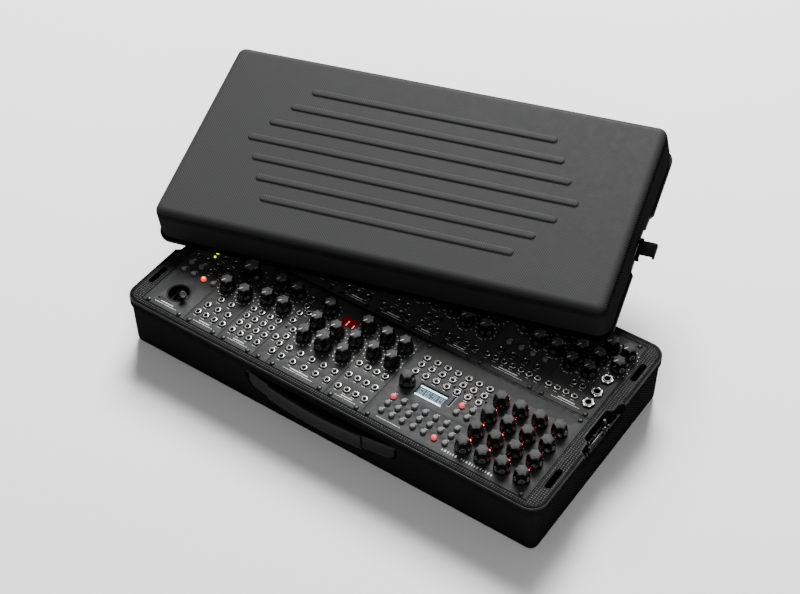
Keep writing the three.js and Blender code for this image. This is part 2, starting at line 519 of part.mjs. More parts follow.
// ---------------------------------------------------------------- lid
const lid = new THREE.Group();
{
  const v = new THREE.Vector3(...LID_ROT.map((d) => (d * Math.PI) / 180));
  lid.quaternion.setFromAxisAngle(v.clone().normalize(), v.length());
  lid.position.set(PX(LID_POS[0]), PY(LID_POS[1]), PZ(LID_POS[2]));
  root.add(lid);

  // moulded shell: face at z = 0, open downwards
  const sh = [
    rrect(262, 118.5, 10, -3.4), rrect(269, 125.5, 8, -4.4), rrect(274.1, 130.6, 8, -9), rrect(275.1, 131.6, 9, -14), rrect(280.3, 135.0, 15, -48.4),
    rrect(283.3, 138.1, 18, -48.4), rrect(278.7, 135.5, 10.5, -9.4), rrect(277.8, 134.6, 9.6, -5.2),
    rrect(275.2, 132.0, 8, -1.9), rrect(269.2, 126.0, 5, 0),
  ];
  let shell = solid(loft(sh));
  // raised stiffening beads on the face: straight bars with round ends
  const bead = (x0, y0, x1, y1, w = 5.0) => {
    const d = new THREE.Vector2(x1 - x0, y1 - y0).normalize(), n = new THREE.Vector2(-d.y, d.x);
    const p = [];
    const a0 = Math.atan2(n.y, n.x);
    for (let i = 0; i <= 4; i++) { const t = a0 + (Math.PI * i) / 4; p.push([x0 + w * Math.cos(t), y0 + w * Math.sin(t)]); }
    for (let i = 0; i <= 4; i++) { const t = a0 + Math.PI + (Math.PI * i) / 4; p.push([x1 + w * Math.cos(t), y1 + w * Math.sin(t)]); }
    return prism(p, -1.5, 1.8);
  };
  for (const [x0, y0, x1, y1] of LID_BEADS()) shell = shell.add(solid(bead(x0, y0, x1, y1)));

  // rim round the open side
  const rr = [
    rrect(277.2, 132.0, 14, -42.8), rrect(277.2, 132.0, 14, -52.9), rrect(278.0, 132.8, 14, -LID_H),
    rrect(283.9, 139.9, 18, -LID_H), rrect(LID_A, LID_B, 19, -52.6), rrect(LID_A, LID_B, 19, -50.1),
    rrect(283.9, 139.9, 19, -48.7), rrect(279.9, 134.6, 15, -48.7), rrect(279.1, 134.0, 14.2, -42.8),
  ];
  let rim = solid(loft(rr, true));

  // stepped recess for the latch clip in each short side, cut through shell and rim
  const notch = (dx, z) => roundPoly([
    [300, -50, 0], [285.6 + dx, -46.5, 2], [281.4 + dx, -41, 3], [281.0 + dx, -29, 3],
    [281.0 + dx, 27, 3], [281.4 + dx, 38, 3], [285.6 + dx, 44.5, 2], [300, 48, 0],
  ], 3).map(([x, y]) => [x, y, z]);
  for (const s of [1, -1]) {
    const w = s > 0 ? (m) => m : (m) => m.mirror([1, 0, 0]);
    const deep = roundPoly([[279.0, -25.2, 2.5], [300, -25.2, 0], [300, 22, 0], [279.0, 22, 2.5]], 3);
    const step = solid(loft([notch(-1.9, -24.5), notch(0.2, -56)]));
    shell = shell.add(w(solid(box(274.4, -51, -48.4, 280.7, 49, -22))));
    shell = shell.subtract(w(step)).subtract(w(solid(prism(deep, -60, -34.5))));
    rim = rim.subtract(w(solid(box(276.6, -54, -48.7, 280.4, 52, -42))));
    rim = rim.add(w(solid(box(273.6, -54, -53.4, 280.1, 52, -48.7))));
    rim = rim.subtract(w(step)).subtract(w(solid(prism(deep, -60, -34.5))));
    let ears = solid(rod(1.3, [CLIP_X, CLIP_Y - 12.4, CLIP_Z], [CLIP_X, CLIP_Y + 12.4, CLIP_Z], 10));
    for (const ey of [CLIP_Y - 13.8, CLIP_Y + 11.2]) {
      ears = ears.add(solid(box(277.4, ey, -53.3, 284.9, ey + 2.6, -49.2))).add(solid(box(280.1, ey, -50, 284.9, ey + 2.6, -43.8)));
    }
    rim = rim.add(w(ears));
  }
  add('lid_shell', shell, M.shell(), lid);
  add('lid_rim', rim, M.rubber(), lid);

  // foam liner under the face
  add('lid_foam', loft([rrect(250, 106, 10, -15.6), rrect(256, 112, 12, -13.0), rrect(258, 114, 12, -3.8)].map((q) => q)), M.foam(), lid);

  // latch clips: the right one stands out sideways, the left one hangs folded down
  for (const [name, s] of [['latch_clip_right', 1], ['latch_clip_left', -1]]) {
    const clip = new THREE.Group();
    clip.position.set(s * CLIP_X, CLIP_Y, CLIP_Z);
    if (s < 0) clip.rotation.y = (-CLIP_FOLD * Math.PI) / 180;
    lid.add(clip);
    let k = join(
      rod(2.7, [0, -10.9, 0], [0, 10.9, 0], 12),
      box(-1.5, -9.7, 1.5, 19.5, 9.7, 4.3),
      box(16.8, -9.7, -2.4, 19.5, 9.7, 2.5),
    );
    k = cut(k, rod(1.65, [0, -15, 0], [0, 15, 0], 10));
    if (s < 0) k = k.mirror([1, 0, 0]);
    add(name, k, M.rubber(), clip);
  }
}
function LID_BEADS() {
  // seven long bars across the face, the outer ones shorter
  const out = [];
  for (let i = -3; i <= 3; i++) out.push([-204 + 17 * Math.abs(i), i * 28, 204 - 17 * Math.abs(i), i * 28]);
  return out;
}

export default root;
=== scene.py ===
"""Modular synthesizer in a travel case: the look of it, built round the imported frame."""
import math

import bmesh
import bpy
import numpy as np
from mathutils import Matrix, Vector


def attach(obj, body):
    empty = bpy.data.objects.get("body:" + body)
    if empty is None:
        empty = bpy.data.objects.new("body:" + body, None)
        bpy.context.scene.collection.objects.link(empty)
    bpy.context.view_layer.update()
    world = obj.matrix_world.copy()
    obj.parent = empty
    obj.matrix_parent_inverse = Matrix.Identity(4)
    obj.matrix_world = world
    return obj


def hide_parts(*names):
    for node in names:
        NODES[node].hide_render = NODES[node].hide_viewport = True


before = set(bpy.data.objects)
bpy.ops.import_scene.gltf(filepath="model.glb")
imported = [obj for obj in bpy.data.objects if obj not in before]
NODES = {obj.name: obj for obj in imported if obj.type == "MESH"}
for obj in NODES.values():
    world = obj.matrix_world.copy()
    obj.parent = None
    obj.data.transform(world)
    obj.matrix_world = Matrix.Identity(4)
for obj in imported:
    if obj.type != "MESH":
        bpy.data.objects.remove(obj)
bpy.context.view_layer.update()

# ------------------------------------------------------------------ sizes, mm
H = 75.0                        # panel surface above the underside
X_MID, Y_MID = 264.16, 130.8
HP = 5.08
PANEL_H = 128.5
ROW = 133.35
KNOB_H = 16.5


def P(x, y, z=0.0):
    """Front-left panel corner coordinates to the row frame, in mm."""
    return Vector((x - X_MID, y - Y_MID, z + H))


# ------------------------------------------------------------------ camera
RIGHT = Vector((0.82163, 0.56993, -0.01012))
UP = Vector((-0.39976, 0.58879, 0.70251))
AHEAD = Vector((-0.40634, 0.57316, -0.71160))
cam_data = bpy.data.cameras.new("camera")
cam_data.sensor_width = 36.0
cam_data.lens = 1702.19 / 800.0 * 36.0
cam_data.clip_start, cam_data.clip_end = 0.1, 60.0
cam = bpy.data.objects.new("camera", cam_data)
bpy.context.scene.collection.objects.link(cam)
spot = Vector((1059.70 - X_MID, -971.83 - Y_MID, 1418.60 + H)) / 1000.0
cam.matrix_world = Matrix((
    (RIGHT.x, UP.x, -AHEAD.x, spot.x),
    (RIGHT.y, UP.y, -AHEAD.y, spot.y),
    (RIGHT.z, UP.z, -AHEAD.z, spot.z),
    (0, 0, 0, 1)))
bpy.context.scene.camera = cam

# ------------------------------------------------------------------ lid frame
_v = Vector([math.radians(a) for a in (12.296, -1.337, 13.767)])
LID = Matrix.Translation(P(191.41, 274.12, 95.25)) @ Matrix.Rotation(_v.length, 4, _v.normalized())


# ------------------------------------------------------------------ materials
class Mat:
    """A Principled material with small helpers. Textures work in object space, metres."""

    def __init__(self, name, base, rough=0.5, metal=0.0, **sockets):
        self.m = bpy.data.materials.new(name)
        self.m.use_nodes = True
        self.nt = self.m.node_tree
        self.nt.nodes.clear()
        self.out = self.nt.nodes.new("ShaderNodeOutputMaterial")
        self.b = self.nt.nodes.new("ShaderNodeBsdfPrincipled")
        self.nt.links.new(self.b.outputs[0], self.out.inputs[0])
        self.b.inputs["Base Color"].default_value = (*base, 1)
        self.b.inputs["Roughness"].default_value = rough
        self.b.inputs["Metallic"].default_value = metal
        for k, v in sockets.items():
            self.b.inputs[k.replace("_", " ")].default_value = v
        self.base, self.rough = base, rough
        self._co = None
        self.m.diffuse_color = (*base, 1)

    def node(self, kind, **props):
        n = self.nt.nodes.new("ShaderNode" + kind)
        for k, v in props.items():
            setattr(n, k, v)
        return n

    def co(self):
        if self._co is None:
            self._co = self.node("TexCoord").outputs["Object"]
        return self._co

    def link(self, a, b):
        self.nt.links.new(a, b)

    def math(self, op, a, b=0.0, c=None, clamp=False):
        n = self.node("Math", operation=op, use_clamp=clamp)
        for i, v in enumerate((a, b) if c is None else (a, b, c)):
            if isinstance(v, (int, float)):
                n.inputs[i].default_value = v
            else:
                self.link(v, n.inputs[i])
        return n.outputs[0]

    def noise(self, size_mm, detail=4.0, rough=0.55, stretch=None):
        n = self.node("TexNoise")
        n.inputs["Scale"].default_value = 1000.0 / size_mm
        n.inputs["Detail"].default_value = detail
        n.inputs["Roughness"].default_value = rough
        src = self.co()
        if stretch:
            mp = self.node("Mapping")
            mp.inputs["Scale"].default_value = stretch
            self.link(src, mp.inputs["Vector"])
            src = mp.outputs[0]
        self.link(src, n.inputs["Vector"])
        return n.outputs["Fac"]

    def dot(self, direction):
        n = self.node("VectorMath", operation="DOT_PRODUCT")
        self.link(self.co(), n.inputs[0])
        n.inputs[1].default_value = direction
        return n.outputs["Value"]

    def wave(self, direction, period_mm):
        """0..1 stripes across a direction."""
        a = self.math("MULTIPLY", self.dot(direction), 2 * math.pi * 1000.0 / period_mm)
        return self.math("MULTIPLY_ADD", self.math("SINE", a), 0.5, 0.5)

    def remap(self, v, a, b, lo, hi):
        n = self.node("MapRange", clamp=True)
        n.inputs["From Min"].default_value = a
        n.inputs["From Max"].default_value = b
        n.inputs["To Min"].default_value = lo
        n.inputs["To Max"].default_value = hi
        self.link(v, n.inputs["Value"])
        return n.outputs[0]

    def mix(self, fac, a, b):
        n = self.node("Mix", data_type="RGBA")
        self.link(fac, n.inputs["Factor"])
        for s, v in ((n.inputs[6], a), (n.inputs[7], b)):
            if isinstance(v, tuple):
                s.default_value = (*v, 1)
            else:
                self.link(v, s)
        return n.outputs[2]

    def colour(self, fac, a, b):
        out = self.mix(fac, a, b)
        self.link(out, self.b.inputs["Base Color"])
        return out

    def roughness(self, fac, a, b, lo=0.3, hi=0.7):
        self.link(self.remap(fac, lo, hi, a, b), self.b.inputs["Roughness"])

    def bump(self, height, depth_mm=0.1, strength=1.0):
        n = self.node("Bump")
        n.inputs["Strength"].default_value = strength
        n.inputs["Distance"].default_value = depth_mm / 1000.0
        self.link(height, n.inputs["Height"])
        prev = self.b.inputs["Normal"].links
        if prev:
            self.link(prev[0].from_socket, n.inputs["Normal"])
        self.link(n.outputs[0], self.b.inputs["Normal"])


def vary(m, size=18.0, spread=0.25, r=0.08, grain=0.6, grain_mm=0.02):
    """Slight uneven colour and roughness, and a fine grain."""
    big = m.noise(size, 5)
    a = tuple(c * (1 - spread) for c in m.base)
    b = tuple(min(1, c * (1 + spread)) for c in m.base)
    m.colour(m.remap(big, 0.3, 0.7, 0, 1), a, b)
    m.roughness(m.noise(size * 0.35, 4), m.rough - r, m.rough + r)
    m.bump(m.noise(grain, 3), grain_mm)
    return m.m


def weave(m, axes=None, pitch=3.4):
    """Diagonal woven grain, 0..1: ribs cut up by a finer wave the other way."""
    def way(x, y, z):
        return (x, y, z) if axes is None else tuple(axes @ Vector((x, y, z)))
    a = m.remap(m.wave(way(1, 1, 1), pitch), 0.25, 0.8, 0, 1)
    b = m.wave(way(1, -1, -1), pitch * 1.01)
    c = m.wave(way(1, -1, 1), pitch * 1.01)
    return m.math("MULTIPLY_ADD", m.math("MAXIMUM", b, c), 0.25, m.math("MULTIPLY", a, 0.75))


def blend_in(m, mask, v, rest):
    """v where mask is 1, the plain value rest where it is 0."""
    return m.math("ADD", m.math("MULTIPLY", m.math("SUBTRACT", v, rest), mask), rest)


def make_shell_mat(name="case_plastic"):
    m = Mat(name, (0.004, 0.004, 0.0042), 0.5)
    sep = m.node("SeparateXYZ")
    m.link(m.co(), sep.inputs[0])
    z = sep.outputs["Z"]
    band = m.math("MULTIPLY", m.remap(z, 0.0085, 0.0100, 0, 1), m.remap(z, 0.0605, 0.0615, 1, 0))
    ax = m.math("ABSOLUTE", sep.outputs["X"])
    ay = m.math("ABSOLUTE", sep.outputs["Y"])
    band = m.math("MULTIPLY", band, m.remap(ax, 0.2790, 0.2830, 1.0, 0.45))
    w = blend_in(m, band, weave(m, pitch=4.5), 0.40)
    fac = m.math("ADD", m.math("MULTIPLY", w, 0.85), m.math("MULTIPLY", m.noise(40, 4), 0.15))
    wall = m.mix(m.remap(fac, 0.15, 0.85, 0, 1), (0.0008, 0.0008, 0.0008), (0.0135, 0.0136, 0.0140))
    nook = m.math("MULTIPLY", m.math("MULTIPLY", m.remap(ax, 0.2700, 0.2705, 0, 1), m.remap(ay, 0.0450, 0.0455, 1, 0)), m.remap(z, 0.0470, 0.0475, 0, 1))
    inside = m.remap(m.math("ABSOLUTE", m.math("SUBTRACT", z, 0.0597)), 0.0006, 0.0009, 1, 0)
    nook = m.math("MULTIPLY", nook, m.math("MAXIMUM", inside, m.remap(ax, 0.2846, 0.2849, 1, 0)))
    wall = m.mix(nook, wall, (0.0040, 0.0040, 0.0041))
    top = m.remap(z, 0.0722, 0.0735, 0, 1)
    m.link(m.mix(top, wall, (0.0040, 0.0040, 0.0042)), m.b.inputs["Base Color"])
    m.link(m.remap(top, 0, 1, 0.0, 0.09), m.b.inputs["Specular IOR Level"])
    m.roughness(m.noise(9, 4), 0.42, 0.56)
    m.bump(w, 0.12)
    m.bump(m.noise(0.5, 2), 0.012)
    return m.m


def make_lid_mat(name="lid_plastic"):
    m = Mat(name, (0.010, 0.0101, 0.0105), 0.52)
    turn = LID.to_3x3()
    up = turn @ Vector((0, 0, 1))
    deep = m.math("SUBTRACT", m.dot(tuple(up)), up.dot(LID.translation) * 0.001)
    face = m.remap(deep, -0.0065, -0.0005, 0, 1)
    w = blend_in(m, m.remap(deep, -0.0145, -0.0135, 0, 1), weave(m, turn), 0.8)
    fac = m.math("ADD", m.math("MULTIPLY", w, 0.85), m.math("MULTIPLY", m.noise(50, 4), 0.15))
    fac = m.remap(fac, 0.15, 0.85, 0, 1)
    # The walls take far darker colours than the top face of the same plastic: painted shade on the walls.
    wall = m.mix(fac, (0.0006, 0.0006, 0.0006), (0.0120, 0.0121, 0.0124))
    # The long front and back walls get a lighter colour than the end walls: painted light.
    side = m.node("VectorMath", operation="DOT_PRODUCT")
    m.link(m.node("TexCoord").outputs["Normal"], side.inputs[0])
    side.inputs[1].default_value = tuple(turn @ Vector((0, 1, 0)))
    painted_light_long_walls = m.remap(m.math("ABSOLUTE", side.outputs["Value"]), 0.5, 0.85, 0, 1)
    wall = m.mix(painted_light_long_walls, wall, m.mix(fac, (0.0006, 0.0006, 0.0006), (0.0170, 0.0171, 0.0175)))
    # The top face's lighter colour is painted light falling on it.
    flat = m.mix(fac, (0.0265, 0.0265, 0.0268), (0.0405, 0.0407, 0.0413))
    m.link(m.mix(face, wall, flat), m.b.inputs["Base Color"])
    m.link(m.remap(face, 0, 1, 0.0, 0.03), m.b.inputs["Specular IOR Level"])
    m.roughness(m.noise(9, 4), 0.46, 0.58)
    m.bump(w, 0.06)
    m.bump(m.noise(0.5, 2), 0.012)
    return m.m


def make_frame_mat():
    m = Mat("frame_waffle", (0.010, 0.010, 0.0105), 0.5)
    sep = m.node("SeparateXYZ")
    m.link(m.co(), sep.inputs[0])
    # distance from the rounded outer edge, negative inside
    qx = m.math("MAXIMUM", m.math("SUBTRACT", m.math("ABSOLUTE", sep.outputs["X"]), 0.2659), 0.0)
    qy = m.math("MAXIMUM", m.math("SUBTRACT", m.math("ABSOLUTE", sep.outputs["Y"]), 0.1216), 0.0)
    away = m.math("SUBTRACT", m.math("SQRT", m.math("ADD", m.math("MULTIPLY", qx, qx), m.math("MULTIPLY", qy, qy))), 0.018)
    inner = m.remap(away, -0.0030, -0.0024, 1, 0)
    wob = m.math("MULTIPLY", m.math("SUBTRACT", m.noise(4.0, 3), 0.5), 0.0024)
    wob2 = m.math("MULTIPLY", m.math("SUBTRACT", m.noise(4.7, 3), 0.5), 0.0024)

    def line(axis, pitch, w):
        pos = m.math("ADD", m.dot(axis), w)
        return m.math("MULTIPLY_ADD", m.math("SINE", m.math("MULTIPLY", pos, 2 * math.pi * 1000.0 / pitch)), 0.5, 0.5)
    a, b = line((1, 0, 0), 3.0, wob), line((0, 1, 0), 2.8, wob2)
    grid = m.math("MULTIPLY", m.remap(a, 0.10, 0.62, 0, 1), m.remap(b, 0.10, 0.62, 0, 1))
    grid = m.math("MULTIPLY", grid, inner)
    shade = m.math("MULTIPLY", grid, m.remap(m.noise(2.6, 2), 0.3, 0.7, 0.45, 1.0))
    m.colour(shade, (0.0022, 0.0022, 0.0022), (0.034, 0.034, 0.035))
    m.link(m.remap(grid, 0, 1, 0.02, 0.09), m.b.inputs["Specular IOR Level"])
    m.roughness(m.noise(5, 3), 0.40, 0.55)
    m.bump(grid, 0.22)
    m.bump(m.noise(0.7, 2), 0.02)
    return m.m


def make_panel_mat():
    m = Mat("panel_coat", (0.028, 0.0283, 0.0292), 0.46, Specular_IOR_Level=0.035)
    big = m.noise(45, 5)
    m.colour(m.remap(big, 0.3, 0.7, 0, 1), (0.0225, 0.0228, 0.0236), (0.0275, 0.0278, 0.0286))
    m.roughness(m.noise(6, 4), 0.38, 0.50)
    m.bump(m.noise(0.45, 2), 0.03)
    return m.m


M = {
    "shell": make_shell_mat(),
    "lid": make_lid_mat(),
    "rim": vary(Mat("rim_plastic", (0.0022, 0.0022, 0.0023), 0.42, Specular_IOR_Level=0.02)),
    "frame": make_frame_mat(),
    "panel": make_panel_mat(),
    "rail": vary(Mat("rail_anodised", (0.004, 0.004, 0.0043), 0.42, 0.15, Specular_IOR_Level=0.05), grain_mm=0.008),
    "bracket": vary(Mat("bracket_paint", (0.05, 0.05, 0.055), 0.5, 0.2)),
    "nickel": vary(Mat("nickel", (0.30, 0.296, 0.282), 0.26, 1.0), size=3, spread=0.08, r=0.08, grain=0.3, grain_mm=0.004),
    "steel": vary(Mat("plated_steel", (0.24, 0.238, 0.23), 0.32, 1.0), size=6, spread=0.12, r=0.1, grain=0.4, grain_mm=0.006),
    "dark_steel": vary(Mat("blackened_steel", (0.030, 0.030, 0.031), 0.24, 1.0), size=5, spread=0.2, r=0.03, grain=1.5, grain_mm=0.001),
    "bush": vary(Mat("bush_nickel", (0.040, 0.039, 0.037), 0.32, 1.0), size=3, spread=0.15, r=0.08, grain=0.3, grain_mm=0.006),
    "ridge": vary(Mat("ridge_black", (0.0060, 0.0060, 0.0062), 0.40, Specular_IOR_Level=0.10), size=6, grain_mm=0.008),
    "clip": vary(Mat("clip_black", (0.0018, 0.0018, 0.0019), 0.38, Specular_IOR_Level=0.006), size=6, grain_mm=0.008),
    "bead": vary(Mat("bead_black", (0.020, 0.020, 0.0205), 0.38, Specular_IOR_Level=0.16), size=6, grain_mm=0.006),
    "bore": vary(Mat("socket_black", (0.0015, 0.0015, 0.0015), 0.6, Specular_IOR_Level=0.1)),
    "knob": vary(Mat("knob_gloss", (0.0015, 0.0015, 0.0016), 0.15, 0.0, Specular_IOR_Level=0.6), size=5, spread=0.3, r=0.04, grain=0.8, grain_mm=0.003),
    # Matte top discs of the black knobs; their lighter grey than the body is painted sheen from the light above.
    "knob_top_painted_sheen": vary(Mat("knob_top_painted_sheen", (0.040, 0.040, 0.041), 0.46, 0.0, Specular_IOR_Level=0.03), size=5, spread=0.25, r=0.06, grain=0.8, grain_mm=0.004),
    "button": vary(Mat("button_grey", (0.100, 0.102, 0.105), 0.5, Subsurface_Weight=0.05, Specular_IOR_Level=0.12), size=3, spread=0.15, grain_mm=0.01),
    "white": vary(Mat("print_white", (0.60, 0.60, 0.60), 0.6, Specular_IOR_Level=0.1), size=2, spread=0.12, grain_mm=0.005),
    "screw": vary(Mat("screw_black", (0.006, 0.006, 0.0063), 0.34, 0.5), size=2, grain=0.3, grain_mm=0.006),
    "rubber": vary(Mat("rubber_black", (0.0044, 0.0044, 0.0046), 0.34, Specular_IOR_Level=0.14), size=8, grain=0.5, grain_mm=0.02),
    "foam": vary(Mat("foam_charcoal", (0.012, 0.012, 0.013), 0.95), size=3, spread=0.5, grain=0.9, grain_mm=0.35),
    "board": vary(Mat("board_green", (0.006, 0.026, 0.012), 0.4), size=4, spread=0.5, grain=1.2, grain_mm=0.03),
    "inlet": vary(Mat("inlet_black", (0.006, 0.006, 0.006), 0.42, Specular_IOR_Level=0.08)),
    "cap": vary(Mat("stick_grey", (0.030, 0.0305, 0.032), 0.45, Specular_IOR_Level=0.3), size=3, spread=0.2),
    "shaft": vary(Mat("stick_shaft", (0.003, 0.003, 0.003), 0.4, Specular_IOR_Level=0.3), size=3, spread=0.2),
    # Black parts; also the painted shade of the screw recesses and the painted shadow strips by the display.
    "recess": vary(Mat("black_and_painted_recess_shade", (0.0012, 0.0012, 0.0013), 0.55, Specular_IOR_Level=0.1)),
}


def emissive(name, base, glow, strength, rough=0.35, spec=0.12):
    m = Mat(name, base, rough, Specular_IOR_Level=spec)
    f = m.noise(1.6, 2)
    m.colour(m.remap(f, 0.3, 0.7, 0, 1), tuple(c * 0.8 for c in base), base)
    m.link(m.mix(m.remap(f, 0.3, 0.7, 0, 1), tuple(c * 0.8 for c in glow), glow), m.b.inputs["Emission Color"])
    m.b.inputs["Emission Strength"].default_value = strength
    m.bump(m.noise(0.8, 2), 0.01)
    return m.m


M["lit"] = emissive("lit_red", (0.22, 0.04, 0.02), (1.0, 0.10, 0.03), 1.5)
M["lit_core"] = emissive("lit_core", (0.3, 0.10, 0.05), (1.0, 0.42, 0.16), 4.5)
M["lit_pink"] = emissive("lit_pink", (0.20, 0.035, 0.035), (1.0, 0.085, 0.095), 1.05)
M["led_red"] = emissive("lamp_red", (0.3, 0.03, 0.03), (1.0, 0.06, 0.07), 15.0)
M["digit_red"] = emissive("digit_red", (0.3, 0.03, 0.03), (1.0, 0.12, 0.12), 3.0)
M["glow_red"] = emissive("display_red", (0.012, 0.0002, 0.0003), (0.9, 0.0, 0.006), 0.085, spec=0.0)
M["led_green"] = emissive("lamp_green", (0.2, 0.4, 0.03), (0.50, 0.85, 0.05), 3.4)
M["led_off"] = vary(Mat("lamp_off", (0.04, 0.012, 0.012), 0.3, Specular_IOR_Level=0.2))
M["screen"] = emissive("screen_blue", (0.10, 0.13, 0.14), (0.66, 0.86, 0.96), 3.0, 0.25, 0.05)
M["screen_dot"] = emissive("screen_dot", (0.06, 0.08, 0.09), (0.62, 0.84, 0.96), 1.15, 0.25, 0.03)
M["screen_ink"] = emissive("screen_ink", (0.006, 0.016, 0.022), (0.30, 0.66, 1.0), 0.12, 0.3, 0.02)


# ------------------------------------------------------------------ mesh helpers
def rrect(a, b, r, z, n=20, cx=0.0, cy=0.0):
    out = []
    for x, y, t0 in ((a - r, b - r, 0), (r - a, b - r, 90), (r - a, r - b, 180), (a - r, r - b, 270)):
        t = np.radians(t0 + 90.0 * np.arange(n + 1) / n)
        out.append(np.stack([cx + x + r * np.cos(t), cy + y + r * np.sin(t), np.full(n + 1, float(z))], 1))
    return np.concatenate(out)


def fillet_path(points, seg=6):
    """points: (values..., fillet length). Corners become short curves; every value is carried through."""
    pts = [np.array(p[:-1], float) for p in points]
    fl = [p[-1] for p in points]
    out = [pts[0]]
    for i in range(1, len(pts) - 1):
        p0, p1, p2 = pts[i - 1], pts[i], pts[i + 1]
        if fl[i] <= 0:
            out.append(p1)
            continue
        d0, d2 = np.linalg.norm(p0 - p1), np.linalg.norm(p2 - p1)
        s = p1 + (p0 - p1) * min(0.49, fl[i] / d0)
        e = p1 + (p2 - p1) * min(0.49, fl[i] / d2)
        for k in range(seg + 1):
            t = k / seg
            out.append((1 - t) ** 2 * s + 2 * t * (1 - t) * p1 + t * t * e)
    out.append(pts[-1])
    return out


def loft(rings, closed=False, caps=True):
    n = len(rings[0])
    v = np.concatenate(rings)
    m = len(rings)
    f = []
    for i in range(m if closed else m - 1):
        k = (i + 1) % m
        for j in range(n):
            l = (j + 1) % n
            f.append((i * n + j, i * n + l, k * n + l, k * n + j))
    if not closed and caps:
        f.append(tuple(range(n - 1, -1, -1)))
        f.append(tuple((m - 1) * n + j for j in range(n)))
    return v, f


def lathe(profile, n=24, radius=None):
    """Closed body of revolution about Z. profile: (r, z); r 0 at an end closes it; else it is a closed loop.
    radius(r, z, angles) may shape each ring."""
    ang = 2 * math.pi * np.arange(n) / n
    v, f, idx = [], [], []
    for r, z in profile:
        if r <= 1e-9:
            idx.append([len(v)] * n)
            v.append((0.0, 0.0, z))
        else:
            rr = np.full(n, float(r)) if radius is None else radius(r, z, ang)
            idx.append(list(range(len(v), len(v) + n)))
            v.extend(zip(rr * np.cos(ang), rr * np.sin(ang), np.full(n, float(z))))
    loop = profile[0][0] > 1e-9
    m = len(profile)
    for i in range(m if loop else m - 1):
        a, b = idx[i], idx[(i + 1) % m]
        for j in range(n):
            l = (j + 1) % n
            q = [a[j], a[l], b[l], b[j]]
            q = [x for k, x in enumerate(q) if x not in q[:k]]
            if len(q) > 2:
                f.append(tuple(q))
    return np.array(v), f


def box_mesh(x0, y0, z0, x1, y1, z1):
    v = np.array([(x, y, z) for z in (z0, z1) for y in (y0, y1) for x in (x0, x1)], float)
    f = [(0, 2, 3, 1), (4, 5, 7, 6), (0, 1, 5, 4), (2, 6, 7, 3), (0, 4, 6, 2), (1, 3, 7, 5)]
    return v, f


def rbox(x0, y0, z0, x1, y1, z1, r=0.3, n=3):
    """Box with rounded upright edges and a rounded top edge."""
    cx, cy, a, b = (x0 + x1) / 2, (y0 + y1) / 2, (x1 - x0) / 2, (y1 - y0) / 2
    rr = min(r * 1.5, a * 0.49, b * 0.49)
    rings = [rrect(a, b, rr, z0, n, cx, cy), rrect(a, b, rr, z1 - r, n, cx, cy),
             rrect(a - r * 0.3, b - r * 0.3, rr * 0.9, z1 - r * 0.3, n, cx, cy), rrect(a - r, b - r, max(rr - r, 0.02), z1, n, cx, cy)]
    return loft(rings)


def smooth(me, angle=38.0):
    bm = bmesh.new()
    bm.from_mesh(me)
    bmesh.ops.remove_doubles(bm, verts=bm.verts, dist=1e-7)
    bmesh.ops.recalc_face_normals(bm, faces=bm.faces)
    lim = math.radians(angle)
    for f in bm.faces:
        f.smooth = True
    for e in bm.edges:
        e.smooth = len(e.link_faces) == 2 and e.calc_face_angle(0.0) < lim
    bm.to_mesh(me)
    bm.free()


class Build:
    """Collects bodies into one mesh object."""

    def __init__(self):
        self.v, self.f, self.mi, self.n = [], [], [], 0

    def add(self, vf, at=(0, 0, 0), turn=0.0, mat=0, matrix=None, scale=1.0):
        v, f = vf
        v = np.asarray(v, float) * scale
        if turn:
            c, s = math.cos(turn), math.sin(turn)
            v = np.stack([v[:, 0] * c - v[:, 1] * s, v[:, 0] * s + v[:, 1] * c, v[:, 2]], 1)
        if matrix is not None:
            m = np.array(matrix)
            v = v @ m[:3, :3].T + m[:3, 3]
        v = v + np.array(at)
        self.v.append(v)
        self.f.extend([tuple(i + self.n for i in q) for q in f])
        self.mi.extend([mat] * len(f))
        self.n += len(v)
        return self

    def make(self, name, mats, body="case", slot=None, nodes=(), angle=38.0, matrix=None):
        me = bpy.data.meshes.new(name)
        v = np.concatenate(self.v)
        if matrix is not None:
            m = np.array(matrix)
            v = v @ m[:3, :3].T + m[:3, 3]
        me.from_pydata((v * 0.001).tolist(), [], self.f)
        mats = mats if isinstance(mats, (list, tuple)) else [mats]
        for k in mats:
            me.materials.append(M[k])
        me.polygons.foreach_set("material_index", self.mi)
        smooth(me, angle)
        ob = bpy.data.objects.new(name, me)
        bpy.context.scene.collection.objects.link(ob)
        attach(ob, body)
        if nodes:
            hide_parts(*nodes)
        return ob


def temp(vf, name="tmp"):
    me = bpy.data.meshes.new(name)
    me.from_pydata(np.asarray(vf[0]).tolist(), [], vf[1])
    bm = bmesh.new()
    bm.from_mesh(me)
    bmesh.ops.recalc_face_normals(bm, faces=bm.faces)
    bm.to_mesh(me)
    bm.free()
    ob = bpy.data.objects.new(name, me)
    bpy.context.scene.collection.objects.link(ob)
    return ob


def applied(ob):
    bpy.context.view_layer.update()
    dg = bpy.context.evaluated_depsgraph_get()
    me = bpy.data.meshes.new_from_object(ob.evaluated_get(dg))
    ob.modifiers.clear()
    ob.data = me
    return ob


def boolean(ob, other, op="DIFFERENCE"):
    tool = temp(other)
    m = ob.modifiers.new("b", "BOOLEAN")
    m.operation, m.object, m.solver = op, tool, "EXACT"
    applied(ob)
    bpy.data.objects.remove(tool)
    return ob


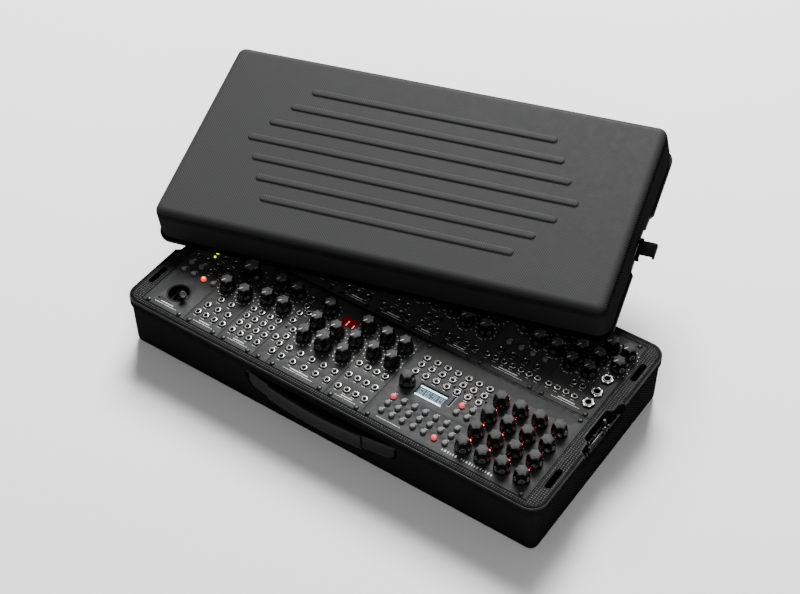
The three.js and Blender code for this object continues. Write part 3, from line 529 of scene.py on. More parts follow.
def plate(loops, z0, z1, bevel=0.25, res=2):
    """Flat plate from an outline and holes (mm, in the row frame), with rounded edges. Returns verts and faces in mm."""
    cu = bpy.data.curves.new("plate", "CURVE")
    cu.dimensions, cu.fill_mode = "2D", "BOTH"
    for loop in loops:
        sp = cu.splines.new("POLY")
        sp.points.add(len(loop) - 1)
        for p, q in zip(sp.points, loop):
            p.co = (q[0], q[1], 0, 1)
        sp.use_cyclic_u = True
    cu.extrude = (z1 - z0) / 2 - bevel
    cu.bevel_depth, cu.bevel_resolution, cu.offset = bevel, res, -bevel
    ob = bpy.data.objects.new("plate", cu)
    bpy.context.scene.collection.objects.link(ob)
    bpy.context.view_layer.update()
    dg = bpy.context.evaluated_depsgraph_get()
    me = bpy.data.meshes.new_from_object(ob.evaluated_get(dg))
    bm = bmesh.new()
    bm.from_mesh(me)
    bmesh.ops.remove_doubles(bm, verts=bm.verts, dist=1e-4)
    bmesh.ops.dissolve_degenerate(bm, dist=1e-4, edges=bm.edges)
    v = np.array([(p.co.x, p.co.y, p.co.z + (z0 + z1) / 2) for p in bm.verts])
    bm.verts.index_update()
    f = [tuple(p.index for p in q.verts) for q in bm.faces]
    bm.free()
    bpy.data.objects.remove(ob)
    bpy.data.curves.remove(cu)
    bpy.data.meshes.remove(me)
    return v, f


def ring_pts(x, y, r, n=32):
    t = 2 * math.pi * np.arange(n) / n
    return np.stack([x + r * np.cos(t), y + r * np.sin(t)], 1)


def round_poly(points, seg=5):
    out, n = [], len(points)
    for i in range(n):
        x, y, r = points[i]
        p = Vector((x, y))
        if r <= 0:
            out.append((x, y))
            continue
        a = (Vector(points[(i - 1) % n][:2]) - p).normalized()
        b = (Vector(points[(i + 1) % n][:2]) - p).normalized()
        half = math.acos(max(-1, min(1, a.dot(b)))) / 2
        c = p + (a + b).normalized() * (r / math.sin(half))
        s, e = p + a * (r / math.tan(half)) - c, p + b * (r / math.tan(half)) - c
        t0, t1 = math.atan2(s.y, s.x), math.atan2(e.y, e.x)
        dt = (t1 - t0 + math.pi) % (2 * math.pi) - math.pi
        for k in range(seg + 1):
            t = t0 + dt * k / seg
            out.append((c.x + r * math.cos(t), c.y + r * math.sin(t)))
    return out


def prism_xy(points, z0, z1):
    n = len(points)
    v = np.array([(x, y, z0) for x, y in points] + [(x, y, z1) for x, y in points])
    f = [tuple(range(n - 1, -1, -1)), tuple(range(n, 2 * n))] + [(i, (i + 1) % n, n + (i + 1) % n, n + i) for i in range(n)]
    return v, f


def rod(r, a, b, n=20, end=0.3):
    """Round bar from a to b with eased ends."""
    a, b = Vector(a), Vector(b)
    d = (b - a).normalized()
    q = d.to_track_quat("Z", "Y").to_matrix()
    L = (b - a).length
    v, f = lathe([(0, 0), (r - end, 0), (r - end * 0.3, end * 0.3), (r, end), (r, L - end), (r - end * 0.3, L - end * 0.3), (r - end, L), (0, L)], n)
    v = v @ np.array(q).T + np.array(a)
    return v, f


def polish(node, mat, bevel=0.0, seg=2, angle=35):
    """A carried-over CAD node: material, and eased edges through modifiers."""
    ob = NODES[node]
    ob.data.materials.clear()
    ob.data.materials.append(M[mat])
    if bevel:
        d = ob.modifiers.new("flat", "DECIMATE")
        d.decimate_type, d.angle_limit = "DISSOLVE", math.radians(1.0)
        b = ob.modifiers.new("edge", "BEVEL")
        b.width, b.segments, b.limit_method, b.angle_limit = bevel / 1000, seg, "ANGLE", math.radians(angle)
        b.harden_normals = False
    return ob


# ------------------------------------------------------------------ lower case
def build_shell():
    pr = fillet_path([
        (262.0, 117.6, 3.0, 0.0, 0),
        (280.85, 136.45, 9.0, 0.0, 7.0),
        (283.6, 139.9, 17.3, H - 12.3, 0.4),
        (285.5, 141.8, 19.4, H - 12.0, 0.8),
        (285.5, 141.8, 19.4, H - 0.4, 1.3),
        (284.2, 139.9, 18.3, H - 0.4, 0.3),
        (284.2, 139.9, 18.3, H - 2.8, 0.2),
        (280.8, 136.9, 15.0, H - 2.8, 0.4),
        (278.2, 133.8, 7.0, 9.0, 3.0),
        (273.5, 129.0, 4.0, 3.2, 3.0),
        (262.0, 117.6, 3.0, 3.2, 0),
    ], 7)
    ob = temp(loft([rrect(a, b, q, z, 24) for a, b, q, z in pr]), "base_shell_skin")
    # handle recess
    hx0, hx1, hz0, hz1 = -105.0, 104.0, H - 42.5, H - 15.9
    boolean(ob, box_mesh(hx0 - 8, -136.8, hz0 - 3, hx1 + 8, -111.0, hz1 + 1.5), "UNION")

    def pocket(g, y, k=0.0):
        pts = round_poly([(hx0 - g, hz0 - g, 12 + g), (hx1 + g, hz0 - g, 12 + g), (hx1 + g, hz1 + k, 12 + k), (hx0 - g, hz1 + k, 12 + k)], 12)
        return np.array([(x, y, z) for x, z in pts])
    rings = [pocket(-4, -114.0, -4), pocket(-1.2, -114.6, -1.2), pocket(0, -117.5), pocket(0, -136.4), pocket(0.3, -137.6, 0.15),
             pocket(0.9, -138.6, 0.4), pocket(1.8, -139.6, 0.9), pocket(2.6, -141.0, 1.3), pocket(2.6, -150.0, 1.3)]
    boolean(ob, loft(rings))
    pin = H - 21.6
    boolean(ob, rod(2.3, (hx0 - 4.5, -136.5, pin), (hx1 + 4.5, -136.5, pin), 20, 0.1))
    for s in (1, -1):
        def X(pts):
            return [(s * x, y) for x, y in pts] if s > 0 else [(s * x, y) for x, y in pts][::-1]
        a, b = sorted((s * 268.6, s * 282.2))
        boolean(ob, box_mesh(a, -49, H - 28, b, 47.5, H - 2.8), "UNION")
        v1 = X(round_poly([(279.0, -44.8, 4), (300, -44.8, 0), (300, 43, 0), (279.0, 43, 4)], 6))
        boolean(ob, prism_xy(v1, H - 15, H + 12))
        v2 = X(round_poly([(271.8, -24.8, 3.5), (281.0, -24.8, 0), (281.0, 24.2, 0), (271.8, 24.2, 3.5)], 6))
        boolean(ob, prism_xy(v2, H - 24, H + 12))
    boolean(ob, box_mesh(150, 128, 20.5, 214, 150, 39.5))
    ob.data.transform(Matrix.Scale(0.001, 4))
    ob.data.materials.clear()
    ob.data.materials.append(M["shell"])
    smooth(ob.data, 32)
    b = ob.modifiers.new("edge", "BEVEL")
    b.width, b.segments, b.limit_method, b.angle_limit = 0.0005, 3, "ANGLE", math.radians(42)
    w = ob.modifiers.new("normals", "WEIGHTED_NORMAL")
    w.keep_sharp = True
    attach(ob, "case")
    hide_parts("base_shell")
    return ob


build_shell()

# ------------------------------------------------------------------ top frame
def build_frame():
    A, B, r = 283.9, 139.6, 18.0
    side = [(A, -44.6, 1.5), (279.2, -41.6, 2.5), (278.6, -27.4, 3), (272.1, -24.4, 3),
            (272.1, 23.8, 4), (278.6, 26.6, 3), (279.2, 39.6, 2.5), (A, 42.6, 1.5)]
    left = [(-x, y, q) for x, y, q in side][::-1]
    outline = round_poly([(-A, -B, r), (A, -B, r), *side, (A, B, r), (-A, B, r), *left], 10)
    loops = [outline, round_poly([(-264.6, -131.6, 0.6), (264.6, -131.6, 0.6), (264.6, 131.9, 0.6), (-264.6, 131.9, 0.6)], 3)]
    for sx in (-1, 1):
        for y in (-90.8, 92.2):
            x = sx * 274.1
            loops.append(round_poly([(x - 3.5, y - 15, 3.49), (x + 3.5, y - 15, 3.49), (x + 3.5, y + 15, 3.49), (x - 3.5, y + 15, 3.49)], 8))
    Build().add(plate(loops, H - 2.5, H, 0.45, 3)).make("top_frame_skin", "frame", nodes=["top_frame"], slot="frame_plastic")


build_frame()

# ------------------------------------------------------------------ layout tables, panel coordinates
FRONT = [("joystick_module", 0, 12), ("modulator_module", 12, 22), ("mixer_module", 22, 32), ("link_module", 32, 36),
         ("voice_module", 36, 52), ("filter_module", 52, 62), ("sequencer_module", 62, 104)]
REAR = [("rear_module_1", 0, 36), ("rear_module_2", 36, 46), ("rear_module_3", 46, 56), ("rear_module_4", 56, 64),
        ("rear_module_5", 64, 74), ("rear_module_6", 74, 90), ("output_module", 90, 104)]
STICK = (30.7, 30.0, -13.0)

JACKS = {
    "joystick_module": [(10.9, 91.3), (25.6, 91.7), (41.3, 90.7), (41.1, 105.4), (40.3, 78.5), (54.7, 78.9), (56.3, 91.5), (56.2, 106.1)],
    "modulator_module": [(x, 18.9) for x in (68.8, 80.6, 92.8, 104.9)] + [(x, 33.6) for x in (71.8, 86.5, 101.5)] + [(79.3, 48.8), (94.5, 48.8)],
    "mixer_module": [(x, y) for y in (18.5, 32.1, 45.4, 58.9) for x in (119.8, 131.8, 143.9, 155.9)],
    "link_module": [(169, 109.9), (169, 96.8), (168.5, 83.1), (177.6, 89.3), (168.6, 69.6), (178, 57.5), (168.4, 37.7), (178, 44.3), (178, 31.6), (178, 18.2)],
    "voice_module": [(x, y) for y in (32.5, 17.4) for x in (192, 208.2, 224.2, 240.2, 256.2)],
    "filter_module": [(x, y) for y in (58.2, 38.1, 17.8) for x in (271.8, 283.7, 295.7, 307.6)],
    "sequencer_module": [(x, y) for y in (108, 96, 83.9) for x in (331, 345, 359, 373, 387, 401, 415)],
    "rear_module_1": [(x, y) for y in (149.5, 166) for x in (12, 28, 44, 60, 76, 92, 108, 124, 140, 156, 172)],
    "rear_module_2": [(192.5, 149.2), (206, 149.2), (219.5, 149.2), (192.5, 163.5), (206, 163.5), (219.5, 163.5)],
    "rear_module_3": [(242.6, 149), (254, 149), (266.4, 149), (277.9, 149.4), (254, 163.5), (266.4, 163.5)],
    "rear_module_4": [(294.8, 150.2), (305.9, 149.6), (317.1, 149.6), (294.8, 165), (305.9, 165)],
    "rear_module_5": [(332.6, 151), (344.6, 151.2), (356.6, 151.6), (368.2, 152)],
    "rear_module_6": [(x, 151.8) for x in (383.8, 394.9, 406.0, 417.1, 428.1, 439.1, 450.1)] + [(x, 166.2) for x in (393.1, 409.1, 425, 441)],
    "output_module": [(464.4, 152.3), (475.5, 152.4), (486.5, 152.4), (497.6, 152.2), (486.8, 169.4), (497.8, 169.4)],
}
BIG_JACKS = [(515.3, 151.6), (515.3, 170.4), (515.3, 193.2)]
# small knobs with a pointer: x, y
KNOBS = {
    "modulator_module": [(73.4, 69), (99.4, 69)],
    "mixer_module": [(125.4, 79), (148.8, 79), (125.4, 106.5), (148.8, 106.5)],
    "voice_module": [(196.4, 107.4), (196.2, 81.2), (223.3, 81.6), (196.0, 55.6), (250.4, 57), (250.2, 82), (249.2, 108.6)],
    "filter_module": [(277.3, 106.3), (301.9, 106.3), (277.3, 79.5), (301.9, 79.5)],
    "rear_module_1": [(x, y) for y in (194, 226) for x in (20, 52, 84, 116, 148)],
    "rear_module_2": [(196, 188), (219, 188), (196, 214), (219, 214), (196, 240), (219, 240)],
    "rear_module_3": [(246, 188), (272, 188), (246, 214), (272, 214), (259, 240)],
    "rear_module_4": [(294.5, 188), (315, 188), (294.5, 214), (315, 214), (304.8, 240)],
    "rear_module_5": [(337, 180), (363, 180), (337, 208), (363, 208), (337, 236), (363, 236)],
    "rear_module_6": [(445.5, 199.6), (422.4, 199.6), (398, 214), (445.5, 228), (422.4, 228)],
    "output_module": [(517.0, 237.7), (517.0, 214.5), (496.0, 237.5), (493.0, 213.5), (470.4, 213.5), (493.0, 190.4), (470.4, 190.4)],
}
BIG_KNOBS = {"modulator_module": [(86.4, 100.5, 1.3)], "voice_module": [(222.6, 57.4, 1.22)]}
BUTTONS = {
    "joystick_module": [(10.3, 64.2), (10.3, 78.4), (25.2, 64.1), (25.5, 77.9), (55.1, 64.0)],
    "sequencer_module": [(x, y) for y in (39.3, 27.4, 15.1) for x in (332.3, 346.2, 360.2, 374.3, 388.2, 402.3, 416.3)
                         if (x, y) not in ((332.3, 39.3), (402.3, 15.1))] + [(402.3, 58.4), (416.2, 70.4), (416.2, 58.4)],
    "rear_module_6": [(393.8, 180.9), (410.2, 180.6), (426, 180.4), (442, 180.4)],
}
LIT = [(402.3, 15.1)]
LAMPS = [(379.7, 89.7, 0), (393.6, 89.7, 0), (407.2, 89.9, 0), (421.2, 90, 0), (168.9, 57.5, 0), (206.6, 115.2, 0), (27.5, 101.5, 2), (26.0, 109.6, 2)]
SEQ_KNOBS = [(436.4 + i * 24.7, 20.3 + j * 25.7) for j in (3, 2, 1, 0) for i in range(4)]
ENCODER = (333.4, 64.6)
CAD_BUTTONS = {"sequencer_record_button": (332.3, 39.2), "sequencer_play_button": (402.3, 70.2), "joystick_mode_button": (40.8, 63.8)}


def screws(h0, h1, row):
    xs = [h0 * HP + 7.5] if h1 - h0 < 6 else [h0 * HP + 7.5, h1 * HP - 7.74]
    return [(x, row * ROW + y) for x in xs for y in (3.0, PANEL_H - 3.0)]


# ------------------------------------------------------------------ small parts
def jack_small():
    """Knurled nut; the threaded bush that stands in it comes from jack_bush."""
    prof = [(3.0, 0.1), (3.95, 0.1), (3.95, 1.15), (3.7, 1.65), (3.2, 1.75), (3.0, 1.5)]

    def rad(r, z, t):
        if r > 3.9:
            return r + 0.12 * np.cos(14 * t)
        return np.full(len(t), r)
    return lathe(prof, 42, rad)


# A thin black ring just wider than the nut, standing for the nut's shadow on the panel: painted shadow.
def jack_shadow_ring():
    return lathe([(3.0, -0.1), (4.7, -0.1), (4.7, 0.12), (4.55, 0.2), (3.0, 0.2)], 32)


def jack_bush():
    return lathe([(2.45, -2.5), (2.45, 0.0), (2.85, 0.05), (2.85, 0.95), (2.7, 1.15), (2.25, 1.1), (2.05, 0.8), (2.0, 0.3), (2.0, -2.5)], 28)


def jack_well():
    return lathe([(1.99, 0.6), (1.93, 0.4), (1.93, -4.5), (0, -4.5), (0, -5.0), (2.4, -5.0), (2.4, -2.6), (2.05, -2.55), (1.99, -2.5)], 20)


def jack_big():
    """Hexagon nut, washer and chrome collar of a large jack. The washer is drawn in black, standing for the shade round
    the nut: painted shade.
    """
    hexa = lathe([(4.4, 0.5), (6.9, 0.5), (7.2, 0.8), (7.2, 2.1), (6.6, 2.6), (4.4, 2.6)], 48,
                 lambda r, z, t: r * (np.cos(math.pi / 6) / np.cos((t % (math.pi / 3)) - math.pi / 6)) if r > 5 else np.full(len(t), r))
    washer = lathe([(4.4, 0.0), (7.6, 0.0), (7.6, 0.35), (7.4, 0.5), (4.4, 0.5)], 40)
    collar = lathe([(3.35, -1.9), (4.35, -1.9), (4.35, 2.9), (5.1, 2.95), (5.2, 3.2), (5.0, 3.5), (4.2, 3.65), (3.6, 3.5), (3.35, 3.1)], 40)
    return hexa, washer, collar


def scallop(t, depth):
    """Six wide hollow flutes with narrow ridges between them."""
    return depth * np.sqrt(np.cos(3 * t) ** 2 * 0.98 + 0.0004)


def knob_mesh(n=96):
    """Round bulging foot, six wide flutes running up and out at the top."""
    prof = fillet_path([(0, 0.4, 0), (9.0, 0.4, 0.4), (9.6, 2.4, 1.2), (9.35, 5.2, 2.0), (8.5, 11.0, 3.0), (7.75, 15.6, 0.8), (7.1, 16.4, 0.5), (0, 16.4, 0)], 5)
    body = [(0, 0.4)] + [tuple(p) for p in prof[1:-1]] + [(0.0, 16.4)]
    out = []
    for (r0, z0), (r1, z1) in zip(body[:-1], body[1:]):
        out.append((r0, z0))
        if z1 - z0 > 1.6:
            k = int((z1 - z0) / 0.8)
            for q in range(1, k):
                out.append((r0 + (r1 - r0) * q / k, z0 + (z1 - z0) * q / k))
    out.append(body[-1])

    def rad(r, z, t):
        if z < 3.0 or r < 4:
            return np.full(len(t), r)
        k = min(1.0, (z - 3.0) / 5.0)
        e = min(1.0, max(0.0, (z - 9.0) / 7.0))
        return r - scallop(t, (2.25 - 0.95 * e) * k * k * (3 - 2 * k))
    return lathe(out, n, rad)


def knob_cap(n=96):
    """The flat top of a knob, a hair above the body. Its lighter grey than the body is painted sheen."""
    return lathe([(0, 16.2), (7.15, 16.2), (7.15, 16.42), (6.95, 16.5), (0, 16.5)], n, lambda r, z, t: r - scallop(t, 1.45) if r > 4 else np.full(len(t), r))


def pointer_mesh():
    v, f = box_mesh(-0.38, 1.6, 16.2, 0.38, 6.2, 16.58)
    b = Build().add((v, f))
    b.add(box_mesh(-0.38, 5.8, 15.2, 0.38, 6.5, 16.58))
    return np.concatenate(b.v), b.f


def button_mesh():
    return lathe([(0, -1.6)] + [tuple(p) for p in fillet_path([(0, -1.6, 0), (3.3, -1.6, 0), (3.3, 2.9, 0.9), (1.8, 3.35, 0.9), (0, 3.4, 0)], 6)[1:-1]] + [(0, 3.4)], 36)


def bezel_mesh(r, w=0.5, h=0.5):
    return lathe([(r, -1.0), (r + w, -1.0), (r + w, h * 0.5), (r + w * 0.7, h), (r + w * 0.3, h), (r, h * 0.5)], 32)


def lamp_mesh(r=1.5):
    return lathe([(0, -1.0), (r, -1.0), (r, 0.6), (r * 0.92, 1.2), (r * 0.65, 1.8), (r * 0.3, 2.1), (0, 2.15)], 20)


def screw_mesh():
    """Pan head. The cross recess is not cut into it; cross_mesh draws it as a dark cross: painted shade."""
    v, f = lathe([(0, -1.5), (1.45, -1.5), (1.45, 0.0), (2.9, 0.05), (2.9, 0.6), (2.6, 1.15), (1.9, 1.55), (0.0, 1.6)], 24)
    return v, f


# A dark cross standing for the shade in the cross recess: painted shade.
def cross_mesh():
    b = Build()
    b.add(box_mesh(-1.5, -0.27, 1.0, 1.5, 0.27, 1.63)).add(box_mesh(-0.27, -1.5, 1.0, 0.27, 1.5, 1.63))
    return np.concatenate(b.v), b.f


J_SMALL, J_BUSH, J_WELL, J_BIG, J_SHADOW_RING = jack_small(), jack_bush(), jack_well(), jack_big(), jack_shadow_ring()
KNOB, KTOP, POINTER, BUTTON, LAMP, SCREW, CROSS = knob_mesh(), knob_cap(), pointer_mesh(), button_mesh(), lamp_mesh(), screw_mesh(), cross_mesh()
CCW = math.radians(150.0)       # pointer turned fully left


# ------------------------------------------------------------------ panels and what stands on them
def ink(b, x0, y0, x1, y1, h=0.05):
    p0, p1 = P(x0, y0), P(x1, y1)
    b.add(box_mesh(p0.x, p0.y, H - 0.02, p1.x, p1.y, H + h))


def dashes(b, x, y, lengths, w=0.55, gap=0.9):
    total = sum(lengths) + gap * (len(lengths) - 1)
    c = x - total / 2
    for l in lengths:
        ink(b, c, y - w / 2, c + l, y + w / 2)
        c += l + gap


def tick_dots(b, x, y, r=12.0, n=11, size=0.62):
    for i in range(n):
        t = math.radians(90 + 150 - 300 * i / (n - 1))
        c = P(x + r * math.cos(t), y + r * math.sin(t))
        b.add(lathe([(0, -0.02), (size, -0.02), (size, 0.05), (0, 0.05)], 8), at=c)


def module(name, h0, h1, row):
    jacks, knobs, buttons = JACKS.get(name, []), KNOBS.get(name, []), BUTTONS.get(name, [])
    big = BIG_KNOBS.get(name, [])
    x0, x1, y0 = h0 * HP + 0.15, h1 * HP - 0.15, row * ROW
    loops = [[tuple(P(*q)[:2]) for q in round_poly([(x0, y0, 0.5), (x1, y0, 0.5), (x1, y0 + PANEL_H, 0.5), (x0, y0 + PANEL_H, 0.5)], 3)]]

    def hole(x, y, r, n=24):
        c = P(x, y)
        loops.append(ring_pts(c.x, c.y, r, n))
    for x, y in jacks:
        hole(x, y, 2.6)
    lamps = [q for q in LAMPS if x0 < q[0] < x1 and y0 < q[1] < y0 + PANEL_H]
    for x, y, k in lamps:
        hole(x, y, 2.7 if y > 109 and k == 2 else 1.35, 16)
    lit = [q for q in LIT if x0 < q[0] < x1 and y0 < q[1] < y0 + PANEL_H]
    for x, y in list(buttons) + lit:
        hole(x, y, 3.6)
    marks = Build()
    if name == "joystick_module":
        hole(STICK[0], STICK[1], 12.9, 64)
        hole(15.7, 12.3, 1.3, 16)
        hole(*CAD_BUTTONS["joystick_mode_button"], 3.6)
    if name == "voice_module":
        loops.append([tuple(P(*q)[:2]) for q in round_poly([(214.8, 96.6, 0.8), (234.6, 96.6, 0.8), (234.6, 111.0, 0.8), (214.8, 111.0, 0.8)], 4)])
    if name == "sequencer_module":
        for x, y in SEQ_KNOBS + [ENCODER]:
            hole(x, y, 3.6)
        for k in ("sequencer_record_button", "sequencer_play_button"):
            hole(*CAD_BUTTONS[k], 3.6)
        loops.append([tuple(P(*q)[:2]) for q in round_poly([(346.3, 55.8, 1), (383.3, 55.8, 1), (383.3, 74.6, 1), (346.3, 74.6, 1)], 4)])
        loops.append([tuple(P(*q)[:2]) for q in [(388.9, 62.2), (390.5, 62.2), (390.5, 78.0), (388.9, 78.0)]])
        for x, y in SEQ_KNOBS:
            hole(x, y + 14.0, 1.1, 16)
    if name == "output_module":
        for x, y in BIG_JACKS:
            hole(x, y, 4.6, 32)
    Build().add(plate(loops, H - 2.0, H, 0.22, 2)).make(name + "_panel_skin", "panel", nodes=[name + "_panel"], slot="panel_metal", angle=50)

    # screws
    b = Build()
    for i, (x, y) in enumerate(screws(h0, h1, row)):
        t = 0.4 + 1.3 * i + h0
        # the cross takes the black material: painted shade of the recess
        b.add(SCREW, at=P(x, y), turn=t).add(CROSS, at=P(x, y), turn=t, mat=1)
    b.make(name + "_screws", ["screw", "recess"], slot="rail_metal")

    # jacks
    if jacks:
        b = Build()
        for i, (x, y) in enumerate(jacks):
            b.add(J_SMALL, at=P(x, y), turn=0.37 * i)
            # the black ring under each nut is painted shadow
            b.add(J_WELL, at=P(x, y), mat=1).add(J_BUSH, at=P(x, y), mat=2).add(J_SHADOW_RING, at=P(x, y), mat=1)
        b.make(name + "_jacks", ["nickel", "bore", "bush"], slot="steel", angle=30)
    if name == "output_module":
        b = Build()
        for i, (x, y) in enumerate(BIG_JACKS):
            # the washer takes the black material: painted shade round the nut
            for piece, k in zip(J_BIG, (3, 1, 2)):
                b.add(piece, at=P(x, y), turn=0.2 + 0.5 * i, mat=k)
            b.add(lathe([(3.24, 2.6), (3.24, -21.0), (0, -21.0), (0, -21.6), (3.33, -21.6), (3.33, 2.6)], 28), at=P(x, y), mat=1)
        b.make("output_jack_collars", ["nickel", "bore", "bush", "steel"], slot="steel", angle=30)

    # knobs with a pointer
    if knobs or big:
        b = Build()
        for x, y in knobs:
            t = CCW
            b.add(KNOB, at=P(x, y), turn=t).add(POINTER, at=P(x, y), turn=t, mat=1).add(KTOP, at=P(x, y), turn=t, mat=2)
            tick_dots(marks, x, y)
        for x, y, s in big:
            b.add(KNOB, at=P(x, y), turn=CCW, scale=s).add(POINTER, at=P(x, y), turn=CCW, mat=1, scale=s).add(KTOP, at=P(x, y), turn=CCW, mat=2, scale=s)
            tick_dots(marks, x, y, 12.0 * s + 1.0)
        b.make(name + "_knobs", ["knob", "white", "knob_top_painted_sheen"], slot="knob_plastic", angle=34)

    # buttons and lamps
    if buttons or lit:
        b = Build()
        for x, y in buttons:
            b.add(BUTTON, at=P(x, y)).add(bezel_mesh(3.42, 0.3, 0.25), at=P(x, y), mat=1)
        for x, y in lit:
            b.add(BUTTON, at=P(x, y), mat=2).add(bezel_mesh(3.42, 0.3, 0.25), at=P(x, y), mat=1)
        b.make(name + "_buttons", ["button", "bore", "lit_pink"], slot="stick_plastic")
    if lamps:
        b = Build()
        for x, y, k in lamps:
            b.add(LAMP, at=P(x, y), mat=k, scale=1.7 if y > 109 and k == 2 else 0.8)
        b.make(name + "_lamps", ["led_off", "led_red", "led_green"], slot="lit_button")

    # printed marks: short dashes by each jack and button, a rule at the foot
    for i, (x, y) in enumerate(jacks):
        dashes(marks, x, y - 5.7, [(2.2, 1.4), (1.2, 2.4), (3.4,)][i % 3], 0.5, 0.6)
    for i, (x, y) in enumerate(buttons):
        dashes(marks, x, y + 5.6, [(1.6, 1.6), (2.6,), (1.0, 2.0)][i % 3], 0.5, 0.6)
    for i, (x, y) in enumerate(knobs):
        dashes(marks, x, y - 12.6, [(3.2, 1.8), (1.6, 3.4), (4.6,)][i % 3], 0.6, 0.7)
    w = (h1 - h0) * HP
    if name not in ("link_module", "sequencer_module"):
        dashes(marks, (x0 + x1) / 2, y0 + 6.2, (2.4, w * 0.16, w * 0.24, 2.4), 0.55, 0.9)
        dashes(marks, (x0 + x1) / 2, y0 + 9.2, (w * 0.30,), 1.1, 0.9)
    if name == "sequencer_module":
        c = 418.0
        for k in range(19):
            wd = (1.0, 1.9, 1.3, 0.8)[k % 4]
            if k != 6:
                ink(marks, c, y0 + 5.6, c + wd, y0 + (8.6 if k % 3 else 7.9))
            c += wd + 2.2
        dashes(marks, 348, y0 + 6.0, (2.4, 10, 14, 2.4), 0.55, 0.9)
        for x, y in SEQ_KNOBS:
            c = P(x + 3.7, y + 11.2)
            marks.add(lathe([(0, -0.02), (0.5, -0.02), (0.5, 0.05), (0, 0.05)], 10), at=c)
            dashes(marks, x - 6.5, y + 12.4, (1.4,), 0.5)
        for q in ("sequencer_record_button", "sequencer_play_button"):
            dashes(marks, CAD_BUTTONS[q][0], CAD_BUTTONS[q][1] + 5.6, (1.6, 1.6), 0.5, 0.6)
    marks.make(name + "_print", "white", slot="panel_metal")


for i, rows in enumerate((FRONT, REAR)):
    for nm, a, b in rows:
        module(nm, a, b, i)

# lamps of the sequencer knobs
b = Build()
for x, y in SEQ_KNOBS:
    b.add(LAMP, at=P(x, y + 14.0), scale=0.72)
b.make("sequencer_step_lamps", "led_red", slot="lit_button")

# ------------------------------------------------------------------ knobs and buttons that move
for i, (x, y) in enumerate(SEQ_KNOBS):
    nm = f"sequencer_knob_{i + 1:02d}"
    b = Build().add(KNOB, at=P(x, y)).add(lathe([(0, -7.2), (3.0, -7.2), (3.0, 0.5), (0, 0.5)], 24), at=P(x, y)).add(KTOP, at=P(x, y), mat=1)
    b.make(nm + "_cap", ["knob", "knob_top_painted_sheen"], body=nm, nodes=[nm], slot="knob_plastic", angle=34)
b = Build().add(KNOB, at=P(*ENCODER)).add(lathe([(0, -7.2), (3.0, -7.2), (3.0, 0.5), (0, 0.5)], 24), at=P(*ENCODER)).add(KTOP, at=P(*ENCODER), mat=1)
b.make("sequencer_encoder_cap", ["knob", "knob_top_painted_sheen"], body="sequencer_encoder_knob", nodes=["sequencer_encoder_knob"], slot="knob_plastic", angle=34)
for nm, (x, y) in CAD_BUTTONS.items():
    lit = "lit" if nm.startswith("joystick") else "lit_pink"
    b = Build().add(BUTTON, at=P(x, y)).add(lathe([(0, -6.4), (2.0, -6.4), (2.0, -1.6), (0, -1.6)], 20), at=P(x, y))
    b.add(lathe([(0, 3.2), (1.5, 3.3), (1.5, 3.42), (0.8, 3.5), (0, 3.52)], 24), at=P(x, y), mat=1)
    b.make(nm + "_cap", [lit, "lit_core" if lit == "lit" else lit], body=nm, nodes=[nm], slot="lit_button")
    Build().add(bezel_mesh(3.44, 0.3, 0.25), at=P(x, y)).make(nm + "_bezel", "bore", slot="inlet_plastic")

# ------------------------------------------------------------------ displays
x0, y0, x1, y1 = 346.6, 56.1, 383.0, 74.3
b = Build()
c0, c1 = P(343.5, 53.6), P(386.0, 76.8)
b.add(box_mesh(c0.x, c0.y, H - 10.8, c1.x, c1.y, H - 2.3), mat=0)
c0, c1 = P(x0, y0), P(x1, y1)
b.add(box_mesh(c0.x, c0.y, H - 3.0, c1.x, c1.y, H - 1.55), mat=0)
# The white field is inset further at the rear edge than at the front, so a wider black band shows there: painted shadow
# of the recess.
fx0, fx1, fy0, fy1 = x0 + 0.9, x1 - 0.9, y0 + 0.9, y1 - 1.9
c0, c1 = P(fx0, fy0), P(fx1, fy1)
b.add(box_mesh(c0.x, c0.y, H - 2.0, c1.x, c1.y, H - 1.35), mat=1)
# blue field between two pale bars
c0, c1 = P(fx0 - 0.1, fy0 + 2.1), P(fx1 + 0.1, fy1 - 2.2)
b.add(box_mesh(c0.x, c0.y, H - 1.5, c1.x, c1.y, H - 1.31), mat=2)
# groups of small square dots in place of characters
for group in range(4):
    for col in range(3):
        for row in range(4):
            if (group * 5 + col * 3 + row * 7) % 8 == 1:
                continue
            px = fx0 + 2.2 + group * 8.6 + col * 2.35
            py = fy0 + 3.1 + row * 2.3
            q0, q1 = P(px, py), P(px + 1.15, py + 1.0)
            b.add(box_mesh(q0.x, q0.y, H - 1.4, q1.x, q1.y, H - 1.27), mat=3)
# black strips along the rear and left edges of the window, just proud of the panel: painted shadow of the recess
for q in ((x0 - 0.7, y1 - 0.4, x1 + 0.3, y1 + 1.0), (x0 - 0.9, y0 - 0.2, x0 + 0.1, y1 + 1.0)):
    q0, q1 = P(q[0], q[1]), P(q[2], q[3])
    b.add(box_mesh(q0.x, q0.y, H - 0.2, q1.x, q1.y, H + 0.12), mat=0)
b.make("sequencer_display_face", ["recess", "screen", "screen_ink", "screen_dot"], nodes=["sequencer_display"], slot="screen")

# red number display
b = Build()
c0, c1 = P(213.8, 95.6), P(235.6, 112.0)
b.add(box_mesh(c0.x, c0.y, H - 6, c1.x, c1.y, H - 2.05), mat=0)
c0, c1 = P(215.0, 96.8), P(234.4, 110.8)
b.add(box_mesh(c0.x, c0.y, H - 2.2, c1.x, c1.y, H - 0.9), mat=2)


